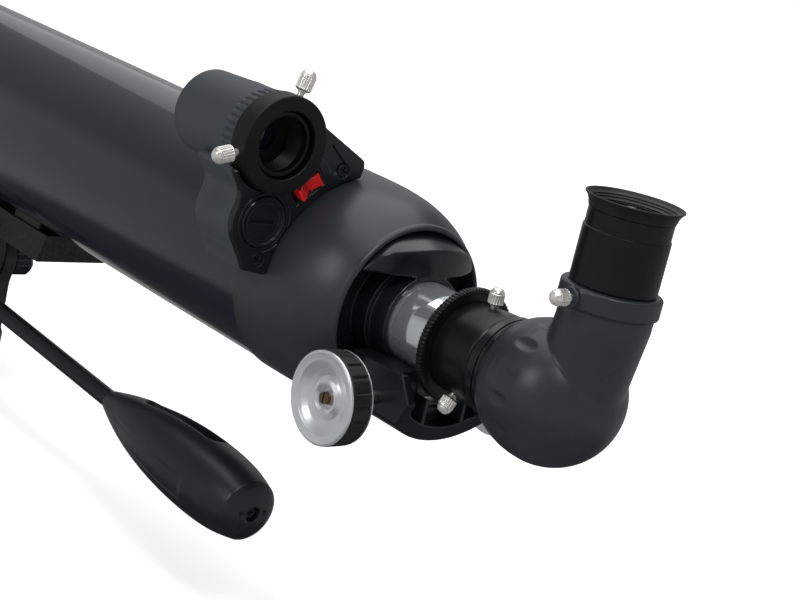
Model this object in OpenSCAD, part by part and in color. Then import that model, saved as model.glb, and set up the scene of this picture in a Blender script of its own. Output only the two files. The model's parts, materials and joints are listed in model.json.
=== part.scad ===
// Refractor telescope on a compact pan head: optical tube, rack focuser, star diagonal,
// eyepiece, lit finder, dovetail bar and pan handle.
// Row frame: origin at the centre of the head's base, +Z up, +Y towards the objective.
// Tube frame: origin on the optical axis in the plane just behind the focus pinion.

/* [Optical tube] */
// Outside diameter of the main tube
tube_d = 100; // [100:0.1:100.4]
// Wall thickness of the main tube
tube_wall = 1.2; // [1:0.1:1.4]
// Front end of the main tube
tube_front_y = 770; // [760:1:780]
// Clear aperture of the objective
aperture_d = 90; // [86:1:90]
// Outside diameter of the dew shield
shield_d = 112; // [112:0.5:114]
// Length of the dew shield
shield_l = 133; // [125:1:140]

/* [Rear cell] */
// Plane where the tube meets the rear cell
seam_y = 86; // [86:0.1:87]
// Largest radius of the rear cell
dome_r = 51; // [51:0.1:51.2]
// How far the rear cell closes in towards its rim
dome_drop = 9.8; // [9.4:0.1:9.8]
// Length over which the rear cell closes in
dome_l = 60; // [59.5:0.1:60]

/* [Focuser] */
// Diameter of the chromed drawtube
drawtube_d = 38; // [38:0.01:38.04]
// Height of the pinion axis below the optical axis
pinion_drop = 29.6; // [29.6:0.01:29.64]
// Number of pinion teeth, of module 1
pinion_teeth = 14; // [14:1:14]
// Diameter of the focus knobs over their rubber rims
knob_d = 40.8; // [38:0.2:41]
// Distance from the optical axis to a knob's outer face
knob_reach = 56.7; // [56:0.1:58]
// Diameter of the knurled retaining ring
ring_d = 52; // [50:0.5:53]
// Diameter of the standard eyepiece barrel
barrel_d = 31.7; // [31.6:0.02:31.74]

/* [Diagonal and eyepiece] */
// Diameter of the diagonal's round housing
ball_d = 60; // [59:0.5:61]
// Distance of the round housing's centre behind the pinion plane
ball_back = 69; // [68.5:0.1:69.5]
// Distance of the eyepiece axis behind the pinion plane
arm_back = 84; // [83.5:0.1:84.5]
// Height of the diagonal's collar above the optical axis
collar_top = 50.5; // [50:0.1:51]
// Height of the eyecup's rim above the optical axis
eyecup_top = 86; // [85:0.5:88]

/* [Finder] */
// Distance of the finder's axis from the optical axis
finder_rho = 87; // [87:0.1:87.5]
// Angle of the finder from straight up towards the left
finder_phi = 43; // [42.5:0.1:43.5]
// Radius of the finder's black rear ring
finder_ring_r = 21.7; // [21.5:0.1:21.8]

/* [Pan head] */
// Height of the tilt axis above the head's base
tilt_h = 72; // [72:1:80]
// Height of the optical axis above the tilt axis
axis_rise = 95; // [95:0.5:96]
// Distance from the pinion plane to the tilt axis
head_y = 400; // [390:1:410]
// Diameter of the head's base
base_d = 49; // [48:0.5:49]
// Downward slope of the pan handle, in degrees
handle_slope = 2.6; // [2:0.1:3]

/* [Hidden] */
$fn = 96;
e = 0.01;
tube_r = tube_d / 2;
drawtube_r = drawtube_d / 2;
barrel_r = barrel_d / 2;
pitch_r = pinion_teeth / 2;
tooth_addendum = 0.8;
tooth_dedendum = 1.05;
tooth_backlash = 0.12;
pressure_angle = 20;
pinion_y = 5;
shaft_r = 3;
running_gap = 0.05;
housing_half_w = 27;
housing_r = 45.5;
housing_top = -15;
lip_bore_r = 38.7;
sleeve_rear_y = 24.5;
nose_r = 21.5;
sleeve_nose_y = 14.6;
adapter_rear_y = -38.3;
nose_rear_y = -48.2;
finder_x = -finder_rho * sin(finder_phi);
finder_z = finder_rho * cos(finder_phi);
plate_y = 64;
base_y = 67;
base_front_y = 92;
battery_at = [-58.3, 28.3];
switch_at = [-39.1, 45];
plate_screws_at = [[-57.2, 11.3], [-20.6, 53.2]];
handle_x = -30;
dovetail_y = [head_y - 80, head_y + 80];

// ---- Helpers ----

// Moves the tube frame to its place above the head
module on_tube() {
    translate([0, -head_y, tilt_h + axis_rise]) children();
}

// Solid rods along the three axes
module rod_y(r, y0, y1) {
    translate([0, y0, 0]) rotate([-90, 0, 0]) cylinder(r = r, h = y1 - y0);
}

module rod_x(r, x0, x1) {
    translate([x0, 0, 0]) rotate([0, 90, 0]) cylinder(r = r, h = x1 - x0);
}

module rod_z(r, z0, z1) {
    translate([0, 0, z0]) cylinder(r = r, h = z1 - z0);
}

// Hollow tube along Y
module pipe_y(r_out, r_in, y0, y1) {
    difference() {
        rod_y(r_out, y0, y1);
        rod_y(r_in, y0 - 1, y1 + 1);
    }
}

// Body of revolution about Y from [radius, y] points
module lathe_y(points) {
    rotate([-90, 0, 0]) rotate_extrude() polygon(points);
}

// Body of revolution about Z from [radius, z] points
module lathe_z(points) {
    rotate_extrude() polygon(points);
}

// Profile drawn in X and Z, extruded along Y
module slab_y(y0, y1) {
    translate([0, y1, 0]) rotate([90, 0, 0]) linear_extrude(y1 - y0) children();
}

// Profile drawn in Y and Z, extruded along X, centred
module slab_x(w) {
    translate([-w / 2, 0, 0])
        rotate([90, 0, 90]) linear_extrude(w) children();
}

// Chromed thumbscrew pointing up: stud from stud_z to the head, domed head above it
module thumbscrew(stud_r, stud_z, neck_z, head_r, head_top) {
    rod_z(stud_r, stud_z, neck_z + e);
    intersection() {
        rod_z(head_r, neck_z, head_top);
        translate([0, 0, head_top - head_r * 1.4]) sphere(r = head_r * 1.4);
    }
    rod_z(head_r, neck_z, head_top - head_r * 1.4);
}

// Places a child that points up so that it points outward at an angle from +Z towards +X
module outward(angle) {
    rotate([0, angle, 0]) children();
}

// ---- Optical tube ----

module main_tube() {
    color("#1d2a3c") on_tube() difference() {
        rod_y(tube_r, seam_y, tube_front_y);
        rod_y(tube_r - tube_wall, seam_y - 1, tube_front_y + 1);
        for (y = dovetail_y) translate([0, y, 0]) rod_z(2.6, -tube_r - 1, -tube_r + 4);
    }
}

module tube_baffles() {
    baffle_r = tube_r - tube_wall - 0.1;
    color("#101010") on_tube() for (b = [[300, 34], [520, 40]])
        pipe_y(baffle_r, b[1], b[0], b[0] + 1.5);
}

cell_flange_r = 54;
lens_r = aperture_d / 2 + 0.3;
lens_seat_y = tube_front_y + 6.5;
lens_curve = 300;
crown_back_y = lens_seat_y + 7;
crown_front_y = lens_seat_y + 18;
lens_gap = 0.6;

module objective_cell() {
    spigot_r = tube_r - tube_wall - 0.05;
    ring_bore = lens_r + 2.75;
    color("#26282b") on_tube() lathe_y([
        [lens_r - 1.8, tube_front_y - 18], [spigot_r, tube_front_y - 18], [spigot_r, tube_front_y],
        [cell_flange_r, tube_front_y], [cell_flange_r, tube_front_y + 28],
        [ring_bore, tube_front_y + 28], [ring_bore, lens_seat_y + 14.7],
        [lens_r + 0.1, lens_seat_y + 14.7], [lens_r + 0.1, lens_seat_y],
        [lens_r - 1.8, lens_seat_y]
    ]);
}

// Depth of a spherical lens face at a radius
function sag(curve, r) = curve - sqrt(curve * curve - r * r);
lens_steps = 12;

// Biconvex front element
module crown_lens() {
    color("#9fc4c8", 0.4) on_tube() lathe_y(concat(
        [for (i = [0:lens_steps]) let (r = lens_r * i / lens_steps)
            [r, crown_back_y + sag(lens_curve, r)]],
        [for (i = [lens_steps:-1:0]) let (r = lens_r * i / lens_steps)
            [r, crown_front_y - sag(lens_curve, r)]]
    ));
}

// Plano-concave rear element
module flint_lens() {
    rim_y = crown_back_y + 2.8;
    hollow_r = sqrt(lens_curve * lens_curve - pow(lens_curve - 2.8 - lens_gap, 2));
    color("#a8c8b8", 0.4) on_tube() lathe_y(concat(
        [[0, lens_seat_y], [lens_r, lens_seat_y], [lens_r, rim_y]],
        [for (i = [lens_steps:-1:0]) let (r = hollow_r * i / lens_steps)
            [r, crown_back_y - lens_gap + sag(lens_curve, r)]]
    ));
}

module lens_spacer() {
    in_r = lens_r - 1.2;
    color("silver") on_tube() lathe_y([
        [in_r, crown_back_y + 2.82], [lens_r, crown_back_y + 2.82],
        [lens_r, crown_back_y + sag(lens_curve, lens_r) - 0.01],
        [in_r, crown_back_y + sag(lens_curve, in_r) - 0.01]
    ]);
}

module lens_retaining_ring() {
    color("#151515") on_tube()
        pipe_y(lens_r + 2.7, lens_r - 1.5, lens_seat_y + 14.8, lens_seat_y + 19);
}

shield_rear_y = tube_front_y + 2;
shield_front_y = shield_rear_y + shield_l;

module dew_shield() {
    r = shield_d / 2;
    color("#1d2a3c") on_tube() lathe_y([
        [cell_flange_r + 0.1, shield_rear_y], [r, shield_rear_y], [r, shield_front_y - 3],
        [r + 1, shield_front_y - 2], [r + 1, shield_front_y], [r - 0.8, shield_front_y],
        [cell_flange_r + 0.1, shield_front_y - 2]
    ]);
}

plug_bore_r = 22;

module dust_cap() {
    r = shield_d / 2 + 1.5;
    y = shield_front_y + 0.1;
    color("#17181a") on_tube() lathe_y([
        [plug_bore_r, y - 2], [plug_bore_r + 2, y - 2], [plug_bore_r + 2, y],
        [51, y], [51, y - 12], [53.8, y - 12], [53.8, y], [r, y], [r, y + 2],
        [r - 1, y + 3], [plug_bore_r + 2, y + 3], [plug_bore_r + 2, y + 6], [plug_bore_r, y + 6]
    ]);
}

module dust_cap_plug() {
    r = plug_bore_r + 4;
    y = shield_front_y + 6.2;
    color("#17181a") on_tube() lathe_y([
        [0, y], [plug_bore_r - 2, y], [plug_bore_r - 2, y - 6], [plug_bore_r - 0.1, y - 6],
        [plug_bore_r - 0.1, y], [r, y], [r, y + 2], [r - 1.5, y + 3.5], [0, y + 3.5]
    ]);
}

// ---- Dovetail bar ----

bar_half_l = 105;
bar_bottom = -tube_r - 16;
bar_top = -tube_r - 1;

module dovetail_bar() {
    pad_half_w = 17;
    color("#2a2c2f") on_tube() difference() {
        union() {
            slab_y(head_y - bar_half_l, head_y + bar_half_l)
                polygon([[-21.75, bar_bottom], [21.75, bar_bottom], [18, bar_top], [-18, bar_top]]);
            for (y = dovetail_y) translate([-pad_half_w, y - 14, bar_top - e])
                cube([2 * pad_half_w, 28, 4.2]);
        }
        rod_y(tube_r, head_y - bar_half_l - 1, head_y + bar_half_l + 1);
        for (y = dovetail_y) translate([0, y, 0]) {
            rod_z(2.6, bar_bottom - 1, -tube_r + 1);
            rod_z(5, bar_bottom - 1, bar_bottom + 6);
        }
    }
}

// Two socket screws up through the bar, with nuts inside the tube
module dovetail_screws() {
    inner_z = -tube_r + tube_wall + 0.6;
    color("silver") on_tube() for (y = dovetail_y) translate([0, y, 0]) {
        difference() {
            rod_z(4.4, bar_bottom + 1.5, bar_bottom + 6);
            translate([0, 0, bar_bottom + 1]) cylinder(r = 2.3, h = 3, $fn = 6);
        }
        rod_z(2.5, bar_bottom + 6 - e, inner_z + 5);
        translate([0, 0, inner_z]) cylinder(r = 4.6, h = 4, $fn = 6);
    }
}

// ---- Rear cell and focuser ----

// Outer radius of the rear cell's dome at a distance along the axis
function dome_at(y) = dome_r - dome_drop * pow((seam_y - y) / dome_l, 4);

dome_rim_y = seam_y - dome_l + 0.6;
dome_steps = 22;
dome_outline = [
    for (i = [0:dome_steps])
        let (y = seam_y + (dome_rim_y - seam_y) * i / dome_steps) [dome_at(y), y]
];
dome_lip = [[41.2, 25.1], [40.3, 24.2], [39.6, 24], [38.9, 24.5], [lip_bore_r, 25.6]];

module rear_cell() {
    spigot_r = tube_r - tube_wall - 0.05;
    color("#36393d") on_tube() lathe_y(concat(
        [[spigot_r - 2.5, seam_y + 16], [spigot_r, seam_y + 16], [spigot_r, seam_y]],
        dome_outline, dome_lip,
        [[lip_bore_r, 40], [43.5, 41.5], [46.2, 52], [spigot_r - 2.5, seam_y - 2]]
    ));
}

// Solid filling everything inside the dome's outer surface
module dome_envelope(grow) {
    lathe_y(concat(
        [[0, seam_y], [dome_r + grow, seam_y]],
        [for (p = dome_outline) [p[0] + grow, p[1]]],
        [for (p = dome_lip) if (p[1] < 25.2) [p[0] + grow, p[1] - grow]],
        [[0, 24 - grow]]
    ));
}

rack_half_w = 4;
rack_slot_half_w = 4.6;
rack_slot_z = -pinion_drop + pitch_r - tooth_addendum - 1;

// Sleeve that carries the drawtube, with a visor over the tube and a flange in the rear cell
module focuser_body() {
    visor_crown_r = 61;
    visor_nose_y = 14;
    visor_plan_r = 57;
    color("#303338") on_tube() difference() {
        union() {
            rod_y(24, sleeve_rear_y, 100);
            rod_y(nose_r, sleeve_nose_y, sleeve_rear_y + e);
            rod_y(lip_bore_r - 0.1, 34, 40);
            rod_y(43.2, 41.6, 46);
            rod_y(38.5, 40 - e, 41.6 + e);
            intersection() {
                rod_y(lip_bore_r - 0.4, visor_nose_y - 5, 34 + e);
                translate([0, visor_nose_y + visor_plan_r, 0]) rod_z(visor_plan_r, 20, 40);
                translate([0, visor_nose_y, 29 - visor_crown_r]) rotate([20, 0, 0])
                    rod_y(visor_crown_r, -40, 60);
            }
        }
        rod_y(drawtube_r + running_gap, 0, 110);
        translate([-rack_slot_half_w, 0, rack_slot_z])
            cube([2 * rack_slot_half_w, 110, -rack_slot_z - 10]);
    }
}

// Side view of the pinion housing, in Y and Z
housing_side = [
    [40, housing_top], [-9, housing_top], [-16.5, -25.5], [-12.5, -35], [-9.5, -47], [40, -47]
];

// U-shaped housing under the drawtube that carries the pinion shaft
module pinion_housing() {
    pocket_half_w = 22.5;
    color("#2c2f33") on_tube() difference() {
        intersection() {
            slab_x(2 * housing_half_w) polygon(housing_side);
            rod_y(housing_r, -20, 41);
        }
        dome_envelope(0.05);
        rod_y(drawtube_r + 0.6, -20, 50);
        rod_y(nose_r + 0.3, sleeve_nose_y - 0.3, 50);
        rod_y(27.5, -20, -4.5);
        difference() {
            intersection() {
                rod_y(38, -30, -3.6);
                translate([-pocket_half_w, -30, -50]) cube([2 * pocket_half_w, 60, 50]);
            }
            for (x = [-12.2, 10.6]) translate([x, -12, -50]) cube([1.6, 10, 50]);
            rod_y(45, -3.7, 0);
        }
        translate([-rack_slot_half_w, -20, rack_slot_z])
            cube([2 * rack_slot_half_w, 70, 30]);
        translate([0, pinion_y, -pinion_drop]) {
            rod_x(pitch_r + 1.6, -6.5, 6.5);
            rod_x(shaft_r + running_gap, -50, 50);
        }
    }
}

module drawtube() {
    color("#d8dade") on_tube() difference() {
        rod_y(drawtube_r, -13.1, 150);
        rod_y(drawtube_r - 1.5, -15, 151);
    }
}

// Toothed rack under the drawtube; a gap sits over the pinion's top tooth
module focus_rack() {
    rack_rear_y = -3;
    rack_teeth = 33;
    pitch_z = -pinion_drop + pitch_r;
    half = PI / 4 - tooth_backlash;
    slope = tan(pressure_angle);
    root_half = half + slope * tooth_dedendum;
    tip_half = half - slope * tooth_addendum;
    first = pinion_y - 2.5 * PI;
    color("#c9b27a") on_tube() difference() {
        slab_x(2 * rack_half_w) union() {
            translate([rack_rear_y, pitch_z + tooth_dedendum - e]) square([rack_teeth * PI, 4]);
            for (i = [0:rack_teeth - 2]) translate([first + i * PI, pitch_z]) polygon([
                [-root_half, tooth_dedendum], [-tip_half, -tooth_addendum],
                [tip_half, -tooth_addendum], [root_half, tooth_dedendum]
            ]);
        }
        rod_y(drawtube_r + running_gap, -10, 120);
    }
}

// Half the angle of a pinion tooth at a radius, in degrees, on an involute flank
base_r = pitch_r * cos(pressure_angle);
function involute(a) = tan(a) * 180 / PI - a;
function tooth_half_angle(r) =
    90 / pinion_teeth - tooth_backlash / pitch_r * 180 / PI
    + involute(pressure_angle) - involute(acos(min(1, base_r / r)));

module pinion_shaft() {
    root_r = pitch_r - tooth_dedendum;
    tip_r = pitch_r + tooth_addendum;
    flank = [for (i = [0:4]) base_r + 0.001 + (tip_r - base_r - 0.001) * i / 4];
    shaft_end = knob_reach - 3.5;
    color("#b9bcc0") on_tube() translate([0, pinion_y, -pinion_drop]) {
        rod_x(shaft_r, -shaft_end, shaft_end);
        slab_x(11) union() {
            circle(r = root_r);
            for (i = [0:pinion_teeth - 1]) rotate(90 + i * 360 / pinion_teeth) polygon(concat(
                [[root_r - 0.5, -sin(tooth_half_angle(base_r)) * root_r]],
                [for (r = flank) let (a = -tooth_half_angle(r)) [r * cos(a), r * sin(a)]],
                [for (i = [4:-1:0]) let (r = flank[i], a = tooth_half_angle(r))
                    [r * cos(a), r * sin(a)]],
                [[root_r - 0.5, sin(tooth_half_angle(base_r)) * root_r]]
            ));
        }
    }
}

knob_r = knob_d / 2;

// Dished metal disc of the right-hand focus knob, with a hub on the shaft
module knob_disc() {
    lathe_z([
        [shaft_r, knob_reach - 12], [6.5, knob_reach - 12], [7, knob_reach - 8],
        [knob_r - 2.5, knob_reach - 8], [knob_r - 2.5, knob_reach - 1.6],
        [knob_r - 0.5, knob_reach - 1.6], [knob_r - 0.2, knob_reach - 1.1],
        [knob_r - 0.6, knob_reach - 0.3], [knob_r - 1.4, knob_reach], [knob_r - 4.8, knob_reach - 0.9],
        [12, knob_reach - 3.6], [8.6, knob_reach - 4.4], [7.6, knob_reach - 2.6],
        [6.6, knob_reach - 2.2], [5.6, knob_reach - 2.8], [4.6, knob_reach - 5.2],
        [shaft_r, knob_reach - 5.2]
    ]);
}

// Grooved rubber rim of the right-hand focus knob
module knob_rim() {
    rim_in = knob_r - 2.45;
    grooves = 20;
    difference() {
        lathe_z([
            [rim_in, knob_reach - 12], [knob_r - 1, knob_reach - 12],
            [knob_r, knob_reach - 11], [knob_r, knob_reach - 2.3],
            [knob_r - 0.5, knob_reach - 1.7], [rim_in, knob_reach - 1.7]
        ]);
        for (i = [0:grooves - 1]) rotate(i * 360 / grooves)
            translate([knob_r + 1.2, 0, 0]) rod_z(1.7, knob_reach - 13, knob_reach - 3);
    }
}

// Turns a right-hand knob child onto the pinion axis, on the side given
module on_knob(side) {
    on_tube() translate([0, pinion_y, -pinion_drop]) rotate([0, side * 90, 0]) children();
}

module knob_left() {
    color("#c4c7cb") on_knob(-1) knob_disc();
}

module knob_right() {
    color("#c4c7cb") on_knob(1) knob_disc();
}

module knob_grip_left() {
    color("#17181a") on_knob(-1) knob_rim();
}

module knob_grip_right() {
    color("#17181a") on_knob(1) knob_rim();
}

// Slotted screws in the ends of the pinion shaft
module knob_screws() {
    z = knob_reach - 3.5;
    color("#a9812f") for (side = [-1, 1]) on_knob(side) difference() {
        rod_z(2.6, z, z + 1.8);
        translate([-3, -0.4, z + 1.1]) cube([6, 0.8, 1]);
    }
}

// Knurled ring that clamps the eyepiece adapter to the drawtube
module retaining_ring() {
    teeth = 90;
    r = ring_d / 2;
    color("#141416") on_tube() difference() {
        lathe_y([
            [drawtube_r + 0.05, -12], [r - 0.4, -12], [r, -12.4], [r, -14.9], [r - 0.4, -15.3],
            [20.3, -15.3], [20.3, -14.4], [21, -14.4], [21, -13.2], [drawtube_r + 0.05, -13.2]
        ]);
        for (i = [0:teeth - 1]) rotate([0, i * 360 / teeth, 0]) translate([r + 0.2, 0, 0])
            rod_y(0.6, -16, -11);
    }
}

screw_y = -25;
side_screw_angle = -148;

// Visual back: spigot in the drawtube, bore for a standard eyepiece barrel
module eyepiece_adapter() {
    bore_r = barrel_r + 0.1;
    color("#19191b") on_tube() difference() {
        lathe_y([
            [14.6, -4], [drawtube_r - 1.55, -4], [drawtube_r - 1.55, -13.3], [20.9, -13.3],
            [20.9, -14.3], [20.2, -14.3], [20.4, -20], [21.4, -30], [21.6, -36],
            [21, adapter_rear_y], [bore_r, adapter_rear_y], [bore_r, -18], [14.6, -18]
        ]);
        for (a = [0, side_screw_angle])
            translate([0, screw_y, 0]) outward(a) rod_z(1.7, 10, 30);
    }
}

module adapter_screw(angle) {
    color("#cfd1d4") on_tube() translate([0, screw_y, 0]) outward(angle)
        thumbscrew(1.6, barrel_r + 0.05, 21.8, 3.4, 29.8);
}

module adapter_screw_top() {
    adapter_screw(0);
}

module adapter_screw_side() {
    adapter_screw(side_screw_angle);
}

// ---- Star diagonal ----

module diagonal_nose() {
    color("#d0d2d6") on_tube() pipe_y(barrel_r, barrel_r - 1.5, nose_rear_y, -19);
}

module diagonal_ring() {
    r = 22.3;
    color("#121214") on_tube() lathe_y([
        [barrel_r + 0.02, -38.7], [r - 0.6, -38.7], [r, -39.3], [r + 0.1, -43], [r - 0.3, -43.3],
        [r - 0.3, -43.8], [r + 0.2, -44.1], [r + 0.7, -47.6], [r + 0.4, nose_rear_y],
        [barrel_r + 0.02, nose_rear_y]
    ]);
}

ball_r = ball_d / 2;
prism_leg = 22;

// Triangle of the prism in Y and Z, with its long side facing down and back
module prism_outline(grow) {
    polygon([
        [-arm_back + prism_leg / 2 + grow, prism_leg / 2 + grow],
        [-arm_back + prism_leg / 2 + grow, -prism_leg / 2 - grow],
        [-arm_back - prism_leg / 2 - grow, prism_leg / 2 + grow]
    ]);
}

module diagonal_body() {
    neck = [
        [0, nose_rear_y], [24.5, nose_rear_y], [25.2, -48.6], [26.4, -51], [28.2, -56],
        [29.4, -61], [29.9, -65.5], [ball_r, -ball_back], [0, -ball_back]
    ];
    color("#343940") on_tube() difference() {
        union() {
            lathe_y(neck);
            translate([0, -ball_back, 0]) sphere(r = ball_r);
            translate([0, -arm_back, 0]) lathe_z([
                [0, 0], [18.5, 0], [19.2, collar_top - 8.6], [20, collar_top - 8.2],
                [20.7, collar_top - 7.2], [20.7, collar_top - 1.2], [20, collar_top - 0.3],
                [19.2, collar_top], [0, collar_top]
            ]);
            translate([0, -arm_back, collar_top - 4.4]) rod_x(4.4, -23.2, -10);
        }
        rod_y(ball_r, nose_rear_y, nose_rear_y + 10);
        rod_y(barrel_r - 1.5, -arm_back + prism_leg / 2 - 1, nose_rear_y + 1);
        slab_x(prism_leg + 0.2) prism_outline(0.1);
        translate([0, -arm_back, 0]) {
            rod_z(10.5, prism_leg / 2 - 1, 27);
            rod_z(barrel_r + 0.1, 24, collar_top + 1);
        }
        translate([0, -arm_back, collar_top - 4.4]) rod_x(1.7, -30, -10);
    }
}

module diagonal_prism() {
    color("#bcd8dc", 0.4) on_tube() slab_x(prism_leg) prism_outline(0);
}

module diagonal_screw() {
    color("#cfd1d4") on_tube() translate([0, -arm_back, collar_top - 4.4]) outward(-90)
        thumbscrew(1.6, barrel_r + 0.05, 24.2, 3.4, 33);
}

// ---- Eyepiece ----

body_bottom = collar_top + 0.2;
body_step = 71;
cup_bottom = 78.5;
well_floor = 75.8;

module eyepiece_barrel() {
    color("#d0d2d6") on_tube() translate([0, -arm_back, 0]) difference() {
        rod_z(barrel_r, 25, body_bottom + 6);
        rod_z(barrel_r - 1.6, 24, body_bottom + 7);
    }
}

module eyepiece_body() {
    color("#151517") on_tube() translate([0, -arm_back, 0]) lathe_z([
        [barrel_r + 0.02, body_bottom], [17.4, body_bottom], [17.8, body_bottom + 0.6],
        [17.8, body_step - 0.4], [17.3, body_step], [17.3, cup_bottom], [16.4, cup_bottom],
        [16.4, cup_bottom + 3.2], [13.7, cup_bottom + 3.2], [12.4, well_floor + 0.2],
        [9.6, well_floor], [9.05, well_floor - 0.6], [9.05, well_floor - 7.3],
        [13.5, well_floor - 9.3],
        [13.5, body_bottom + 6.1], [barrel_r + 0.02, body_bottom + 6.1]
    ]);
}

// Eye lens under the eyecup and field lens inside the barrel
module eyepiece_lenses() {
    eye_z = well_floor - 7;
    color("#9fb8d0", 0.4) on_tube() translate([0, -arm_back, 0]) {
        intersection() {
            rod_z(9, eye_z, eye_z + 5.8);
            translate([0, 0, eye_z + 5.8 - 30]) sphere(r = 30);
        }
        intersection() {
            rod_z(barrel_r - 1.65, 40, 45);
            translate([0, 0, 45 - 60]) sphere(r = 60);
        }
    }
}

// Flared rubber eyecup, with rings moulded inside it
module eyecup() {
    rings = 5;
    h = (eyecup_top - 1.2 - cup_bottom - 3.4) / rings;
    inside = [for (i = [0:rings - 1])
        let (z = eyecup_top - 1.2 - i * h, r = 18.2 - i * 0.55)
            each [[r, z], [r - 0.7, z - h * 0.6]]];
    color("#131315") on_tube() translate([0, -arm_back, 0]) lathe_z(concat(
        [[16.45, cup_bottom + 0.1], [17.6, cup_bottom + 0.1], [17.7, cup_bottom + 2],
         [17.9, cup_bottom + 3.8], [18.9, eyecup_top - 2], [20.1, eyecup_top - 0.3],
         [19.6, eyecup_top], [18.8, eyecup_top - 0.5]],
        inside, [[14.6, cup_bottom + 3.4], [16.45, cup_bottom + 3.4]]
    ));
}

// ---- Finder ----

// Outline of the finder base, in X and Z, following the battery cap and the finder tube
module finder_outline() {
    difference() {
        union() {
            polygon([
                [-8.6, 58.2], [-36.5, 72.8], [-60, 66], [-79.5, 49.5], [-73, 40], [-62, 26],
                [-67, 14.5], [-64.4, 6], [-46, 3], [-30, 20], [-10, 50]
            ]);
            translate(battery_at) circle(r = 17);
        }
        circle(r = dome_r + 0.35);
        translate([finder_x, finder_z]) circle(r = finder_ring_r + 0.6);
    }
}

// Cradle of the finder tube and the space that it turns round
module finder_axis() {
    on_tube() translate([finder_x, 0, finder_z]) children();
}

module finder_base() {
    color("#2b2f34") on_tube() difference() {
        union() {
            slab_y(base_y, base_front_y) finder_outline();
            difference() {
                slab_y(plate_y + 6, base_front_y) intersection() {
                    translate([finder_x, finder_z]) circle(r = 25);
                    polygon([[-36.5, 72.8], [-60, 66], [-79.5, 49.5], [-73, 38], [-30, 55]]);
                }
                rod_y(dome_r + 0.35, 0, 120);
            }
        }
        translate([finder_x, 0, finder_z]) {
            rod_y(20.2, 0, 130);
            rod_y(21.1, 0, 79);
        }
        translate([battery_at[0], 0, battery_at[1]]) {
            rod_y(11.6, 0, base_y + 5);
            rod_y(10.2, 0, base_front_y - 4);
        }
        translate([switch_at[0], base_y - 1, switch_at[1]]) rotate([0, switch_turn, 0])
            translate([-8.2, 0, -3.6]) cube([16.4, 12, 7.2]);
        for (p = plate_screws_at) translate([p[0], 0, p[1]]) rod_y(1.6, 0, base_front_y - 3);
    }
}

module finder_plate() {
    color("#1c1e21") on_tube() difference() {
        slab_y(plate_y, base_y - 0.05) finder_outline();
        translate([battery_at[0], 0, battery_at[1]]) rod_y(11.8, 0, 80);
        translate([switch_at[0], plate_y - 1, switch_at[1]]) rotate([0, switch_turn, 0])
            translate([-8, 0, -3.4]) cube([16, 12, 6.8]);
        translate([-27.6, plate_y - 1, 58]) rotate([0, 40, 0])
            translate([-6.4, 0, -3.7]) cube([12.8, 2, 7.4]);
        for (p = plate_screws_at) translate([p[0], 0, p[1]]) {
            rod_y(1.7, 0, 80);
            rod_y(3.2, 0, plate_y + 1.4);
        }
    }
}

// Cross-head screws through the plate
module plate_screws() {
    color("#3a3b3d") on_tube() for (p = plate_screws_at) translate([p[0], 0, p[1]])
        difference() {
            union() {
                rod_y(3, plate_y + 0.2, plate_y + 1.4);
                rod_y(1.5, plate_y + 1.4 - e, base_front_y - 8);
            }
            for (a = [0, 90]) rotate([0, a, 0]) translate([-2, plate_y - 1, -0.35])
                cube([4, 2, 0.7]);
        }
}

module battery_cap() {
    color("#18191b") on_tube() translate([battery_at[0], 0, battery_at[1]]) difference() {
        lathe_y([
            [0, plate_y + 0.6], [10.2, plate_y + 0.6], [10.4, plate_y - 0.5],
            [11.1, plate_y - 0.5], [11.5, plate_y], [11.5, base_y + 4], [0, base_y + 4]
        ]);
        translate([-6, plate_y - 1, -0.8]) cube([12, 2.8, 1.6]);
    }
}

module battery() {
    color("#c8cacc") on_tube() translate([battery_at[0], 0, battery_at[1]])
        rod_y(10, base_y + 5.2, base_y + 8.4);
}

switch_pivot_y = plate_y + 5;
switch_turn = -40;
switch_rest = 7;

// Red rocker with a V-shaped face on two trunnions, resting with its lower end pressed in
module finder_switch() {
    w = 6.2;
    color("#d3141c") on_tube() translate([switch_at[0], switch_pivot_y, switch_at[1]])
        rotate([0, switch_turn, 0]) rotate([0, 0, switch_rest]) {
            translate([0, 0, -w / 2]) linear_extrude(w) polygon([
                [-6.6, -6.9], [-5.8, -7.9], [0, -4.5], [5.8, -7.9], [6.6, -6.9], [5.6, -1],
                [2.4, 3.4], [-2.4, 3.4], [-5.6, -1]
            ]);
            rod_z(1.2, -w / 2 - 0.4, w / 2 + 0.4);
        }
}

finder_front_y = 117;

module finder_tube() {
    ridges = 40;
    color("#3d434b") finder_axis() difference() {
        lathe_y([
            [16.5, 68.6], [20.9, 68.6], [20.9, 70], [20.15, 78], [20.15, 92.2], [19.9, 94],
            [19, finder_front_y - 0.6], [18.4, finder_front_y], [17.3, finder_front_y],
            [17.3, 76], [16.5, 76]
        ]);
        for (i = [0:ridges - 1]) rotate([0, i * 360 / ridges, 0]) translate([21.4, 0, 0])
            rotate([-90, 0, 0]) translate([0, 0, 69.6]) cylinder(r = 0.9, h = 7, $fn = 16);
    }
}

screw_up_angle = 15;
screw_side_angle = -104;
finder_screw_y = 64;

module finder_ring() {
    color("#121214") finder_axis() difference() {
        lathe_y([
            [15.1, 58.6], [finder_ring_r - 0.5, 58.6], [finder_ring_r, 59.1],
            [finder_ring_r, 68.5], [15.6, 68.5], [15.6, 60.2], [15.1, 60.2]
        ]);
        for (a = [screw_up_angle, screw_side_angle])
            translate([0, finder_screw_y, 0]) outward(a) rod_z(1.6, 10, 30);
    }
}

barrel_pivot_y = 100;

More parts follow.
